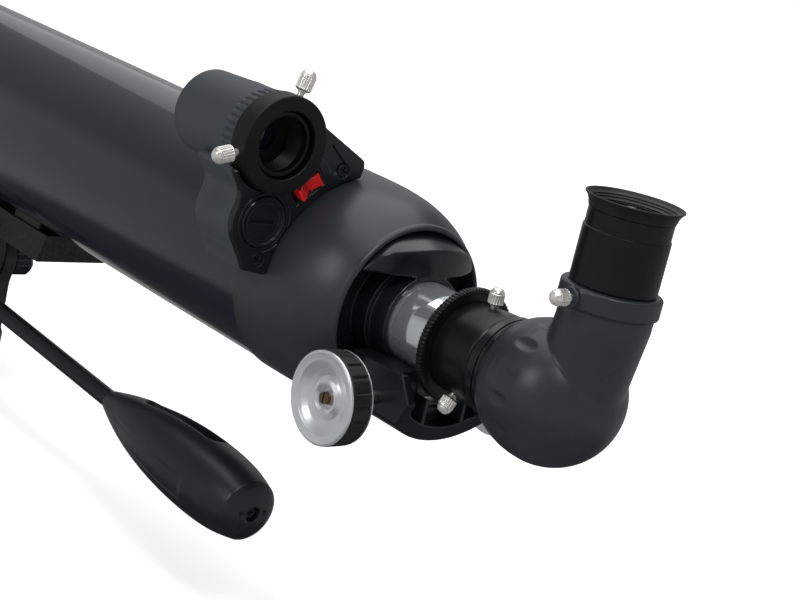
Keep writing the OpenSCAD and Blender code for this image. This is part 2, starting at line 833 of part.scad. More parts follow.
// Inner barrel that the two screws aim, turning on a ball-shaped collar near its front end
module finder_barrel() {
    seat_r = 17.2;
    seat = [for (i = [-4:4]) let (y = i) [sqrt(seat_r * seat_r - y * y), barrel_pivot_y + y]];
    color("#0f0f10") finder_axis() lathe_y(concat(
        [[12.4, 61], [14.2, 61], [14.2, barrel_pivot_y - 4]], seat,
        [[12.4, barrel_pivot_y + 4], [12.4, 75.5], [6, 75.5], [6, 74], [12.4, 74]]
    ));
}

module finder_lens() {
    steps = 6;
    rim_r = 12.35;
    color("#8fa8a0", 0.4) finder_axis() lathe_y(concat(
        [for (i = [0:steps]) let (r = rim_r * i / steps) [r, 76 + sag(40, r)]],
        [[rim_r, 80], [0, 80]]
    ));
}

module finder_window() {
    color("#b0c8d0", 0.4) finder_axis() rod_y(17.2, finder_front_y - 7, finder_front_y - 5);
}

module finder_screw(angle) {
    color("#cfd1d4") finder_axis() translate([0, finder_screw_y, 0]) outward(angle)
        thumbscrew(1.5, 14.9, 24.4, 3.6, 33.4);
}

module finder_screw_up() {
    finder_screw(screw_up_angle);
}

module finder_screw_side() {
    finder_screw(screw_side_angle);
}

// ---- Pan head ----

base_r_head = base_d / 2;
spindle_r = 8;
disc_z = 14.3;
disc_top = 26;
cheek_in = 14.4;
cheek_out = 22;
axle_r = 5;

// Base with the tripod socket underneath and the spindle on top
module azimuth_base() {
    socket_r = 4.76;
    color("#232527") difference() {
        lathe_z([
            [0, 0], [base_r_head - 1, 0], [base_r_head, 1], [base_r_head, 11],
            [base_r_head - 2, 14], [spindle_r, 14], [spindle_r, 36], [spindle_r - 1, 37], [0, 37]
        ]);
        rod_z(socket_r, -1, 12);
        translate([0, 0, 22]) rotate_extrude() translate([spindle_r + 0.6, 0]) circle(r = 1.4);
    }
}

// Yoke that turns on the spindle and carries the tilt axle
module pan_body() {
    color("#2a2c2f") difference() {
        union() {
            rod_z(base_r_head, disc_z, disc_top);
            for (s = [-1, 1]) translate([s * (cheek_in + cheek_out) / 2, 0, 0])
                slab_x(cheek_out - cheek_in) union() {
                    translate([0, tilt_h]) circle(r = 13);
                    translate([-10, disc_top - 6]) square([20, tilt_h - disc_top + 6]);
                }
            intersection() {
                rod_z(base_r_head, disc_top - e, 42);
                translate([-20, -11, disc_top - 1]) cube([40, 22, 17]);
            }
        }
        rod_z(spindle_r + running_gap, 10, 38);
        translate([0, 0, tilt_h]) rod_x(axle_r + running_gap, -30, 30);
        translate([0, 0, 22]) rod_y(3.1, 0, 30);
        translate([0, 0, tilt_h]) rod_x(15.5, -cheek_in, cheek_in);
    }
}

// Knob that locks the azimuth, at the front of the yoke
module azimuth_knob() {
    color("#17181a") translate([0, 0, 22]) {
        rod_y(3, spindle_r + 0.2, 27);
        lobed_head(26.9, 11, 10);
    }
}

// Round knob with five finger lobes, along Y
module lobed_head(y0, r, h) {
    difference() {
        rod_y(r, y0, y0 + h);
        for (i = [0:4]) rotate([0, i * 72, 0]) translate([r + 2.2, 0, 0])
            rod_y(4.2, y0 - 1, y0 + h + 1);
    }
}

saddle_floor = tilt_h + axis_rise + bar_bottom - 0.3;
saddle_bottom = saddle_floor - 8;
saddle_half_l = 42;

// Tilting block with the dovetail saddle on top
module tilt_saddle() {
    color("#2a2c2f") difference() {
        union() {
            translate([0, 0, tilt_h]) rod_x(13, -14, 14);
            translate([-14, -12, tilt_h]) cube([28, 24, saddle_bottom - tilt_h + 1]);
            slab_y(-saddle_half_l, saddle_half_l) difference() {
                polygon([
                    [-29, saddle_bottom], [29, saddle_bottom], [31, saddle_bottom + 4],
                    [28.5, saddle_floor + 11], [-28.5, saddle_floor + 11], [-31, saddle_bottom + 4]
                ]);
                polygon([
                    [-22.2, saddle_floor], [22.9, saddle_floor], [20, saddle_floor + 12],
                    [-19.1, saddle_floor + 12]
                ]);
            }
        }
        translate([0, 0, tilt_h]) rod_x(axle_r + running_gap, -20, 20);
        translate([0, 0, saddle_floor + 5.5]) rod_x(3.1, 15, 40);
    }
}

// Clamp screw of the saddle, on the right
module saddle_knob() {
    color("#17181a") translate([0, 0, saddle_floor + 5.5]) rotate([0, 0, -90]) {
        rod_y(3, 21.4, 34);
        lobed_head(33.9, 12, 11);
    }
}

// Tilt axle with the handle socket on its left end
module tilt_axle() {
    color("#3a3d40") translate([0, 0, tilt_h]) difference() {
        union() {
            rod_x(axle_r, -23, 28);
            translate([handle_x, 0, 0]) rod_x(13, -6.8, 7);
            translate([handle_x, 0, 0]) rotate([handle_slope, 0, 0]) rod_y(7.5, -30, 0);
        }
        translate([handle_x, 0, 0]) rotate([handle_slope, 0, 0]) rod_y(rod_r, -40, -8);
    }
}

// Tension knob on the right end of the tilt axle
module tilt_knob() {
    color("#17181a") translate([0, 0, tilt_h]) difference() {
        rotate([0, 0, -90]) lobed_head(22.4, 13, 13);
        rod_x(axle_r + running_gap, 20, 28.1);
    }
}

rod_r = 4.65;
grip_front = 212;
grip_l = 127;

// Moves a child that lies along Y onto the handle's line
module on_handle() {
    translate([handle_x, 0, tilt_h]) rotate([handle_slope, 0, 0]) children();
}

module handle_rod() {
    color("#26282a") on_handle() rod_y(rod_r, -grip_front - 70, -8.2);
}

// Radius of the grip at a fraction of its length from the narrow end
grip_radii = [5.6, 8.6, 11.2, 13.4, 15.2, 16.6, 17.7, 18.5, 19, 19, 18.6, 17.6, 15.8, 12.6];

module handle_grip() {
    n = len(grip_radii);
    color("#1a1c1e") on_handle() difference() {
        lathe_y(concat(
            [[rod_r + 0.01, -grip_front], [rod_r + 0.01, -grip_front - 70.2],
             [0, -grip_front - 70.2], [0, -grip_front - grip_l], [7, -grip_front - grip_l + 1]],
            [for (i = [n - 1:-1:0]) [grip_radii[i], -grip_front - 0.5 - (grip_l - 5) * i / (n - 1)]]
        ));
        rod_y(3.6, -grip_front - grip_l - 1, -grip_front - grip_l + 5);
        rod_y(1.6, -grip_front - grip_l - 1, -grip_front - grip_l + 22);
        translate([-4, -grip_front - 78, 11.5]) cube([8, 50, 12]);
    }
}

module grip_screw() {
    y = -grip_front - grip_l;
    color("#4a4c4e") on_handle() difference() {
        union() {
            rod_y(3, y + 2.4, y + 5);
            rod_y(1.5, y + 4.9, y + 20);
        }
        for (a = [0, 90]) rotate([0, a, 0]) translate([-1.8, y + 2, -0.3]) cube([3.6, 1.6, 0.6]);
    }
}

// ---- One line per node ----

main_tube();
tube_baffles();
objective_cell();
crown_lens();
flint_lens();
lens_spacer();
lens_retaining_ring();
dew_shield();
dust_cap();
dust_cap_plug();
dovetail_bar();
dovetail_screws();
rear_cell();
focuser_body();
pinion_housing();
drawtube();
focus_rack();
pinion_shaft();
knob_left();
knob_right();
knob_grip_left();
knob_grip_right();
knob_screws();
retaining_ring();
eyepiece_adapter();
adapter_screw_top();
adapter_screw_side();
diagonal_nose();
diagonal_ring();
diagonal_body();
diagonal_prism();
diagonal_screw();
eyepiece_barrel();
eyepiece_body();
eyepiece_lenses();
eyecup();
finder_base();
finder_plate();
plate_screws();
battery_cap();
battery();
finder_switch();
finder_tube();
finder_ring();
finder_barrel();
finder_lens();
finder_window();
finder_screw_up();
finder_screw_side();
azimuth_base();
pan_body();
azimuth_knob();
tilt_saddle();
tilt_axle();
tilt_knob();
saddle_knob();
handle_rod();
handle_grip();
grip_screw();
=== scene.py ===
import json
import math
from math import cos, pi, radians, sin

import bmesh
import bpy
import numpy as np
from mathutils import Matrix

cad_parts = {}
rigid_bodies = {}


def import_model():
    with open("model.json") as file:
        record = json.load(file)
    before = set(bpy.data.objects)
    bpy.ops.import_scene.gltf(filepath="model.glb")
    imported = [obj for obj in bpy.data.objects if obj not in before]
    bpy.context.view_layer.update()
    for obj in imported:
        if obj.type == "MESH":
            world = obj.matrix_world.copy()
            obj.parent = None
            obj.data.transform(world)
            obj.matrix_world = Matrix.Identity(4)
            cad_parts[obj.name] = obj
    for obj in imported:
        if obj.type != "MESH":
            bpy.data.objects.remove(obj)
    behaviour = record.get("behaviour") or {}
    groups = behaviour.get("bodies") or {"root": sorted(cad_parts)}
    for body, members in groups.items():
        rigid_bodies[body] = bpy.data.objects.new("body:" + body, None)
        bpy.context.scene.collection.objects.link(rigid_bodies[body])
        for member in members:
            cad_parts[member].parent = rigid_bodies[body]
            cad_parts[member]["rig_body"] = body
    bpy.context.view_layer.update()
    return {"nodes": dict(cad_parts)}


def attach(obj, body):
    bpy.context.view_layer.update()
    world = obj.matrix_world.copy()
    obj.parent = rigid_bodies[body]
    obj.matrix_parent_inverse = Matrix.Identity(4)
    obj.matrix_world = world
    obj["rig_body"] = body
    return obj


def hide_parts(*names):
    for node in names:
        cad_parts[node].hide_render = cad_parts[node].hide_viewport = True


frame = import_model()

import openvdb
from mathutils import Matrix, Vector

# ---------------------------------------------------------------- frames, all measured in mm

HEAD = MM = Matrix.Scale(0.001, 4)  # the tripod face is at height 0
TUBE = MM @ Matrix.Translation((0, -400, 167))  # +Y runs along the optical axis, towards the objective
FINDER_ANGLE, FINDER_REACH = radians(43), 87
FINDER_X, FINDER_Z = -FINDER_REACH * sin(FINDER_ANGLE), FINDER_REACH * cos(FINDER_ANGLE)
FINDER = TUBE @ Matrix.Translation((FINDER_X, 0, FINDER_Z))
ARM_Y, BOSS_Z = -84, 46.1  # axis of the eyepiece, height of the screw that holds it
EYE = TUBE @ Matrix.Translation((0, ARM_Y, 0))
PINION_Y, PINION_Z = 5, -29.6
PINION = TUBE @ Matrix.Translation((0, PINION_Y, PINION_Z))
TILT_Z, HANDLE_X, HANDLE_TILT = 72, -30, radians(2.6)
HANDLE = HEAD @ Matrix.Translation((HANDLE_X, 0, TILT_Z)) @ Matrix.Rotation(HANDLE_TILT, 4, "X")


def outward(base, y, z, degrees):
    """A frame whose +Z points out of an axis along Y, at an angle from up towards +X."""
    turn = Matrix.Rotation(radians(degrees), 4, "Y")
    return base @ Matrix.Translation((0, y, z)) @ turn


# ---------------------------------------------------------------- materials

def nodes_of(material):
    tree = material.node_tree
    return tree.nodes, tree.links


def add(nodes, kind, **inputs):
    n = nodes.new(kind)
    for k, v in inputs.items():
        n.inputs[k.replace("_", " ")].default_value = v
    return n


def noise(nodes, links, vector, scale, detail=3.0, rough=0.55):
    n = add(nodes, "ShaderNodeTexNoise", Scale=scale, Detail=detail, Roughness=rough)
    links.new(vector, n.inputs["Vector"])
    return n.outputs["Fac"]


def spread(nodes, links, fac, lo, hi, start=0.3, end=0.7):
    n = add(nodes, "ShaderNodeMapRange", **{"From_Min": start, "From_Max": end, "To_Min": lo, "To_Max": hi})
    links.new(fac, n.inputs["Value"])
    return n.outputs["Result"]


def tint(nodes, links, fac, a, b):
    n = nodes.new("ShaderNodeMix")
    n.data_type = "RGBA"
    links.new(fac, n.inputs[0])
    n.inputs[6].default_value = (*a, 1)
    n.inputs[7].default_value = (*b, 1)
    return n.outputs[2]


def shade(color, k):
    return tuple(min(1.0, c * k) for c in color)


FLAKES_PER_METRE, WEAR_PER_METRE = 9000.0, 420


def finish(name, color, rough, metal=0.0, coat=0.0, coat_rough=0.06, spec=0.5, grain=(1800, 0.05),
           vary=(60, 0.12), smudge=(25, 0.25), wear=0.0, waves=None, flakes=0.0, sheen=0.0):
    """Principled surface. grain = bump noise (per metre, mm deep), vary = colour mottling (per metre, share),
    smudge = roughness patches (per metre, share), wear = lighter edges, waves = broad unevenness (per metre,
    mm deep), flakes = sparkle of metallic paint."""
    m = bpy.data.materials.new(name)
    m.use_nodes = True
    nodes, links = nodes_of(m)
    b = nodes["Principled BSDF"]
    coords = nodes.new("ShaderNodeTexCoord").outputs["Object"]
    b.inputs["Metallic"].default_value = metal
    b.inputs["Coat Weight"].default_value = coat
    b.inputs["Coat Roughness"].default_value = coat_rough
    b.inputs["Specular IOR Level"].default_value = spec
    b.inputs["Sheen Weight"].default_value = sheen
    mottle = noise(nodes, links, coords, vary[0], 4.0)
    dark, light = shade(color, 1 - vary[1]), shade(color, 1 + vary[1])
    col = tint(nodes, links, spread(nodes, links, mottle, 0, 1), dark, light)
    if flakes:
        v = add(nodes, "ShaderNodeTexVoronoi", Scale=FLAKES_PER_METRE)
        links.new(coords, v.inputs["Vector"])
        sparkle = spread(nodes, links, v.outputs["Distance"], flakes, 0, 0.0, 0.5)
        mix = nodes.new("ShaderNodeMix")
        mix.data_type = "RGBA"
        links.new(sparkle, mix.inputs[0])
        links.new(col, mix.inputs[6])
        mix.inputs[7].default_value = (*shade(color, 3.2), 1)
        col = mix.outputs[2]
    if wear:
        g = nodes.new("ShaderNodeNewGeometry").outputs["Pointiness"]
        edge = spread(nodes, links, g, 0, wear, 0.52, 0.62)
        patch = noise(nodes, links, coords, WEAR_PER_METRE, 5.0)
        both = nodes.new("ShaderNodeMath")
        both.operation = "MULTIPLY"
        links.new(edge, both.inputs[0])
        links.new(spread(nodes, links, patch, 0, 1, 0.4, 0.62), both.inputs[1])
        mix = nodes.new("ShaderNodeMix")
        mix.data_type = "RGBA"
        links.new(both.outputs[0], mix.inputs[0])
        links.new(col, mix.inputs[6])
        mix.inputs[7].default_value = (*[min(1, c * 2.4 + 0.03) for c in color], 1)
        col = mix.outputs[2]
    links.new(col, b.inputs["Base Color"])
    patches = noise(nodes, links, coords, smudge[0], 5.0, 0.6)
    low, high = rough * (1 - smudge[1]), min(1, rough * (1 + smudge[1]))
    links.new(spread(nodes, links, patches, low, high), b.inputs["Roughness"])
    fine = noise(nodes, links, coords, grain[0], 3.0, 0.6)
    bump = add(nodes, "ShaderNodeBump", Strength=1.0, Distance=grain[1] / 1000)
    links.new(fine, bump.inputs["Height"])
    if waves:
        broad = noise(nodes, links, coords, waves[0], 2.0, 0.5)
        under = add(nodes, "ShaderNodeBump", Strength=1.0, Distance=waves[1] / 1000)
        links.new(broad, under.inputs["Height"])
        links.new(under.outputs["Normal"], bump.inputs["Normal"])
    links.new(bump.outputs["Normal"], b.inputs["Normal"])
    return m


def glass(name, color):
    m = finish(name, color, 0.02, spec=0.6, grain=(900, 0.0008), vary=(40, 0.03), smudge=(30, 0.4))
    b = m.node_tree.nodes["Principled BSDF"]
    b.inputs["Transmission Weight"].default_value = 1.0
    b.inputs["IOR"].default_value = 1.52
    return m


M = {
    "tube_paint": finish("tube_paint", (0.0060, 0.0105, 0.0200), 0.34, metal=0.25, coat=1.0, coat_rough=0.05,
                         grain=(5200, 0.003), vary=(45, 0.08), smudge=(18, 0.15), waves=(9, 0.02), flakes=0.4),
    "cell": finish("cell", (0.024, 0.0265, 0.0300), 0.35, spec=0.5, grain=(2600, 0.010), vary=(70, 0.08),
                   smudge=(35, 0.14), wear=0.3, waves=(40, 0.015)),
    "black": finish("black", (0.0080, 0.0088, 0.0105), 0.25, spec=0.5, grain=(2400, 0.010), vary=(80, 0.12),
                    smudge=(40, 0.18), wear=0.3),
    "trim": finish("trim", (0.005, 0.005, 0.006), 0.22, spec=0.5, grain=(3000, 0.004), vary=(80, 0.12),
                   smudge=(50, 0.2), wear=0.2),
    "flat": finish("flat", (0.0035, 0.0035, 0.004), 0.45, spec=0.35, grain=(3000, 0.008), vary=(90, 0.12),
                   wear=0.2),
    "slate": finish("slate", (0.036, 0.043, 0.053), 0.50, spec=0.4, grain=(3000, 0.014), vary=(60, 0.06),
                    smudge=(30, 0.12), wear=0.2),
    "diagonal": finish("diagonal", (0.0195, 0.0225, 0.0275), 0.36, spec=0.5, grain=(2400, 0.010),
                       vary=(60, 0.08), smudge=(30, 0.14), wear=0.3, waves=(55, 0.02)),
    "head": finish("head", (0.018, 0.019, 0.021), 0.48, metal=0.3, grain=(1500, 0.04), vary=(60, 0.10),
                   wear=0.5),
    "anodised": finish("anodised", (0.0075, 0.0075, 0.008), 0.33, metal=0.4, grain=(4200, 0.005),
                       vary=(80, 0.12), wear=0.4),
    "chrome": finish("chrome", (0.74, 0.75, 0.77), 0.05, metal=1.0, grain=(3500, 0.0004), vary=(60, 0.02),
                     smudge=(60, 0.4), waves=(60, 0.004)),
    "polished": finish("polished", (0.80, 0.83, 0.86), 0.05, metal=0.84, grain=(3500, 0.0004), vary=(60, 0.02),
                       smudge=(60, 0.4), waves=(60, 0.004)),
    "silver": finish("silver", (0.80, 0.82, 0.84), 0.34, metal=0.78, grain=(2600, 0.004), vary=(90, 0.05),
                     smudge=(60, 0.15)),
    "nickel": finish("nickel", (0.88, 0.87, 0.84), 0.26, metal=0.72, grain=(3000, 0.002), vary=(200, 0.04)),
    "zinc": finish("zinc", (0.5, 0.5, 0.5), 0.3, metal=1.0, grain=(2600, 0.01), vary=(120, 0.08)),
    "brass": finish("brass", (0.24, 0.17, 0.11), 0.3, metal=1.0, grain=(2200, 0.01), vary=(200, 0.15)),
    "rubber": finish("rubber", (0.0065, 0.0065, 0.007), 0.50, spec=0.42, grain=(2600, 0.016), vary=(120, 0.14),
                     smudge=(60, 0.12), sheen=0.03),
    "grip": finish("grip", (0.0095, 0.0105, 0.0125), 0.34, spec=0.5, grain=(2600, 0.008), vary=(60, 0.12),
                   smudge=(28, 0.2), waves=(45, 0.02), wear=0.2),
    "red": finish("red", (0.62, 0.010, 0.012), 0.25, spec=0.5, coat=0.3, grain=(1500, 0.004), vary=(150, 0.06)),
    "steel": finish("steel", (0.022, 0.023, 0.025), 0.36, metal=0.6, grain=(3000, 0.01), vary=(120, 0.12),
                    wear=0.4),
    "cellmetal": finish("cellmetal", (0.55, 0.55, 0.56), 0.25, metal=1.0, grain=(2600, 0.004),
                        vary=(120, 0.05)),
    "glass": glass("glass", (0.90, 0.97, 0.95)),
    "coated": finish("coated", (0.006, 0.009, 0.018), 0.05, spec=0.9, coat=1.0, coat_rough=0.02,
                     grain=(900, 0.0006), vary=(300, 0.1), smudge=(60, 0.4)),
}

# CAD node -> the body it rides on
BODY = {o.name: o["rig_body"] for o in frame["nodes"].values()}

# ---------------------------------------------------------------- meshes

WELD_DISTANCE = 2e-6


def build(name, verts, faces, space, material, nodes, weld=False):
    """Makes a piece from points in mm. It rides on the body of the CAD nodes that it replaces."""
    verts = np.asarray(verts, np.float64)
    faces = np.asarray(faces, np.int32)
    a, b, c = (verts[faces[:, k]] for k in (0, 1, 2))
    d = verts[faces[:, -1]]
    volume = (np.cross(a, b) * c).sum() + (np.cross(a, c) * d).sum()
    if volume < 0:
        faces = faces[:, ::-1]
    me = bpy.data.meshes.new(name)
    me.vertices.add(len(verts))
    me.vertices.foreach_set("co", verts.astype(np.float32).ravel())
    me.loops.add(faces.size)
    me.loops.foreach_set("vertex_index", faces.ravel())
    me.polygons.add(len(faces))
    size = faces.shape[1]
    me.polygons.foreach_set("loop_start", np.arange(0, faces.size, size, dtype=np.int32))
    me.polygons.foreach_set("loop_total", np.full(len(faces), size, np.int32))
    me.update(calc_edges=True)
    me.transform(space)
    if weld:
        bm = bmesh.new()
        bm.from_mesh(me)
        bmesh.ops.remove_doubles(bm, verts=bm.verts, dist=WELD_DISTANCE)
        bm.to_mesh(me)
        bm.free()
    me.polygons.foreach_set("use_smooth", np.full(len(me.polygons), True))
    o = bpy.data.objects.new(name, me)
    bpy.context.scene.collection.objects.link(o)
    me.materials.append(M[material])
    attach(o, BODY[nodes[0]])
    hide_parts(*nodes)
    return o


def weighted(o):
    w = o.modifiers.new("weighted", "WEIGHTED_NORMAL")
    w.weight = 60
    return o


ON_AXIS = 1e-6  # a radius below this counts as a point on the axis


def soften(points, radius, steps):
    """Rounds the corners of a closed outline. A point may carry its own radius as a third number."""
    out = []
    n = len(points)
    for i in range(n):
        p = np.array(points[i][:2], float)
        r = points[i][2] if len(points[i]) > 2 else radius
        a = np.array(points[i - 1][:2], float) - p
        b = np.array(points[(i + 1) % n][:2], float) - p
        la, lb = np.linalg.norm(a), np.linalg.norm(b)
        a, b = a / la, b / lb
        angle = math.acos(max(-1, min(1, float(a @ b))))
        if p[0] < ON_AXIS or r <= 0 or angle > radians(168):
            out.append(tuple(p))
            continue
        t = min(r / math.tan(angle / 2), 0.46 * la, 0.46 * lb)
        r = t * math.tan(angle / 2)
        centre = p + (a + b) / np.linalg.norm(a + b) * (r / sin(angle / 2))
        s, e = p + a * t - centre, p + b * t - centre
        for k in range(steps + 1):
            f = k / steps
            turn = math.acos(max(-1, min(1, float(s @ e) / max(r * r, 1e-12))))
            if turn < 1e-6:
                out.append(tuple(p))
                break
            v = (s * sin((1 - f) * turn) + e * sin(f * turn)) / sin(turn)
            out.append(tuple(centre + v))
    return out


def lathe(name, points, space, material, nodes, axis="Y", radius=0.3, segments=160, steps=4, mod=None):
    """Body of revolution about Y or Z from a closed outline of (radius, height), with soft corners.
    mod(theta, r, h) moves the radius, for knurls and grooves."""
    prof = np.array(soften(points, radius, steps))
    k = len(prof)
    r = np.repeat(prof[:, 0][None, :], segments, 0)
    h = np.repeat(prof[:, 1][None, :], segments, 0)
    th = np.repeat((np.arange(segments) * 2 * pi / segments)[:, None], k, 1)
    if mod:
        r = np.where(r > ON_AXIS, r + mod(th, r, h), r)
    u, v = r * np.cos(th), r * np.sin(th)
    verts = np.stack([u, h, v] if axis == "Y" else [u, v, h], -1).reshape(-1, 3)
    i, j = np.meshgrid(np.arange(segments), np.arange(k), indexing="ij")
    i2, j2 = (i + 1) % segments, (j + 1) % k
    keep = ~((r[i, j] < ON_AXIS) & (r[i, j2] < ON_AXIS))
    faces = np.stack([i * k + j, i2 * k + j, i2 * k + j2, i * k + j2], -1)[keep]
    weld = any(p[0] < ON_AXIS for p in points)
    return weighted(build(name, verts, faces, space, material, nodes, weld))


def knurl_wave(theta, count):
    """Triangle wave from 0 to 1, count times round the circle."""
    return np.abs((((theta * count / (2 * pi)) % 1) - 0.5) * 2)


# Signed distances, in mm. Adding 0 * y spreads a field of two coordinates over the third.

def lo_hi(a, b, r):
    """Intersection with a rounded edge of radius r."""
    return np.minimum(np.maximum(a, b), -r) + np.hypot(np.maximum(a + r, 0), np.maximum(b + r, 0))


def join(a, b, r):
    """Union with a fillet of radius r."""
    return -lo_hi(-a, -b, r)


def cut(a, b, r):
    """a without b, with rounded rims."""
    return lo_hi(a, -b, r)


def span(v, lo, hi):
    return np.abs(v - (lo + hi) / 2) - (hi - lo) / 2


def box2(u, v, hu, hv, r=0.0):
    a, b = np.abs(u) - hu + r, np.abs(v) - hv + r
    return np.minimum(np.maximum(a, b), 0) + np.hypot(np.maximum(a, 0), np.maximum(b, 0)) - r


def outline(u, v, points):
    """Signed distance to a polygon."""
    pts = np.array(points, float)
    d, inside = None, None
    for i in range(len(pts)):
        a, b = pts[i - 1], pts[i]
        ex, ey = b - a
        wx, wy = u - a[0], v - a[1]
        t = np.clip((wx * ex + wy * ey) / (ex * ex + ey * ey), 0, 1)
        dd = (wx - ex * t) ** 2 + (wy - ey * t) ** 2
        d = dd if d is None else np.minimum(d, dd)
        if abs(ey) > 1e-12:
            crosses = ((v >= a[1]) != (v >= b[1])) & (u < a[0] + ex * (v - a[1]) / ey)
            inside = crosses if inside is None else inside ^ crosses
    return np.sqrt(d) * np.where(inside, -1, 1)


def solid(name, field, lo, hi, step, space, material, nodes):
    """Skins a distance field. The corner points are moved onto the surface itself."""
    step *= 1
    margin = 2.3 * step
    lo, hi = np.array(lo, float) - margin, np.array(hi, float) + margin
    n = np.ceil((hi - lo) / step).astype(int) + 1
    axes = [lo[i] + np.arange(n[i]) * step for i in range(3)]
    x, y, z = np.meshgrid(*axes, indexing="ij", sparse=True)
    values = np.ascontiguousarray(np.broadcast_to(field(x, y, z), n).astype(np.float32))
    grid = openvdb.FloatGrid()
    grid.copyFromArray(np.clip(values / step, -3, 3))
    points, quads = grid.convertToQuads(isovalue=0.0)
    p = points.astype(np.float64) * step + lo
    h = step * 0.2
    for _ in range(3):
        f = field(p[:, 0], p[:, 1], p[:, 2])
        g = np.stack([(field(*(p + d).T) - field(*(p - d).T)) / (2 * h) for d in np.eye(3) * h], -1)
        g2 = np.maximum((g * g).sum(-1), 0.25)
        move = (f / g2)[:, None] * g
        length = np.linalg.norm(move, axis=1, keepdims=True)
        p -= move * np.minimum(1, 0.6 * step / np.maximum(length, 1e-9))
    return build(name, p, quads, space, material, nodes)


# ---------------------------------------------------------------- optical tube

SEAM, TUBE_FRONT = 86, 770
lathe("tube_shell", [(48.8, SEAM), (50, SEAM), (50, TUBE_FRONT), (48.8, TUBE_FRONT)], TUBE, "tube_paint",
      ["main_tube"], segments=256, radius=0.25)
lathe("objective_cell_body", [
    (43.5, 752), (48.75, 752), (48.75, 770), (54, 770, 0.8), (54, 798, 0.5), (48.05, 798), (48.05, 791.2),
    (45.4, 791.2), (45.4, 776.5), (43.5, 776.5)], TUBE, "black", ["objective_cell"], segments=256)
lathe("shield_tube", [
    (54.1, 772), (56, 772, 0.8), (56, 901.6), (57, 903, 0.6), (57, 905, 0.9), (55.2, 905, 0.5), (54.1, 903)],
    TUBE, "tube_paint", ["dew_shield"], segments=256)
lathe("cap_disc", [
    (22, 903.1), (24, 903.1), (24, 905.1), (51, 905.1), (51, 893.1), (53.8, 893.1), (53.8, 905.1),
    (57.5, 905.1, 0.3), (57.5, 907.1, 0.6), (56.5, 908.1, 0.5), (53.2, 908.1, 0.5), (52.2, 907.4, 0.5),
    (30, 907.4, 0.5), (29, 908.1, 0.5), (24, 908.1, 0.6), (24, 911.1, 0.6), (22, 911.1, 0.4)],
    TUBE, "black", ["dust_cap"], segments=256)
lathe("cap_plug", [
    (0, 911.3), (20, 911.3), (20, 905.3), (21.9, 905.3), (21.9, 911.3), (26, 911.3, 0.3), (26, 913.3, 0.6),
    (24.5, 914.8, 0.9), (19, 914.8, 0.4), (18.2, 914.2, 0.4), (0, 914.2)],
    TUBE, "black", ["dust_cap_plug"], segments=192)

# ---------------------------------------------------------------- rear cell

def dome(y):
    return 51 - 9.8 * ((SEAM - y) / 60) ** 4


DOME_RIM = 26.6
dome_line = [(dome(y), y) for y in np.linspace(SEAM - 0.8, DOME_RIM, 40)]
rim_line = [(41.25, 25.2), (40.7, 24.45), (39.9, 24.05), (39.2, 24.2), (38.75, 24.9), (38.7, 25.8)]
lathe("rear_cell_shell", [(46.3, 102), (48.75, 102), (48.75, SEAM), (50.4, SEAM)] + dome_line + rim_line
      + [(38.7, 40), (43.5, 41.5), (46.2, 52), (46.3, 84)],
      TUBE, "cell", ["rear_cell"], segments=320, radius=0.25)

# ---------------------------------------------------------------- focuser

HOUSING_HALF = 27
HOUSING_SIDE = [(40, -15), (-9, -15), (-16.5, -25.5), (-12.5, -35), (-9.5, -47), (40, -47)]


def envelope(rho, y, grow):
    """Outside of the rear cell, filled, and larger by grow."""
    dome_side = [(r + grow, h) for r, h in dome_line[::3]]
    rim_side = [(r + grow, h - grow) for r, h in rim_line[:4]]
    return outline(rho, y, [(0, SEAM), (51 + grow, SEAM)] + dome_side + rim_side + [(0, 24 - grow)])


def focuser_field(x, y, z):
    rho = np.hypot(x, z)
    body = np.maximum(rho - 24, span(y, 24.5, 100))
    body = np.minimum(body, lo_hi(rho - 21.5, span(y, 14.6, 30), 0.5))
    body = np.minimum(body, np.maximum(rho - 38.6, span(y, 34, 40)))
    body = np.minimum(body, np.maximum(rho - 38.5, span(y, 39.5, 41.8)))
    body = np.minimum(body, np.maximum(rho - 43.2, span(y, 41.6, 46)))
    # visor over the drawtube: part of a wide cylinder that climbs forwards, cut by a round plan
    climb, crown_r, crown_z = radians(20), 61, 29
    yy, zz = y - 14, z - (crown_z - crown_r)
    crown = np.hypot(x, -yy * sin(climb) + zz * cos(climb)) - crown_r
    plan = np.hypot(x, y - 71) - 57
    hood = lo_hi(lo_hi(crown, plan, 1.1), 20.4 - z, 1.0)
    hood = lo_hi(hood, np.maximum(rho - 38.3, y - 36), 0.5)
    body = join(body, hood, 1.5)
    body = cut(body, rho - 19.05, 0.4)
    return cut(body, np.maximum(np.abs(x) - 4.6, span(z, -24.4, -10)), 0.3)


solid("focuser_sleeve", focuser_field, (-43.3, 13.6, -43.3), (43.3, 100, 43.3), 0.6, TUBE, "black",
      ["focuser_body"])


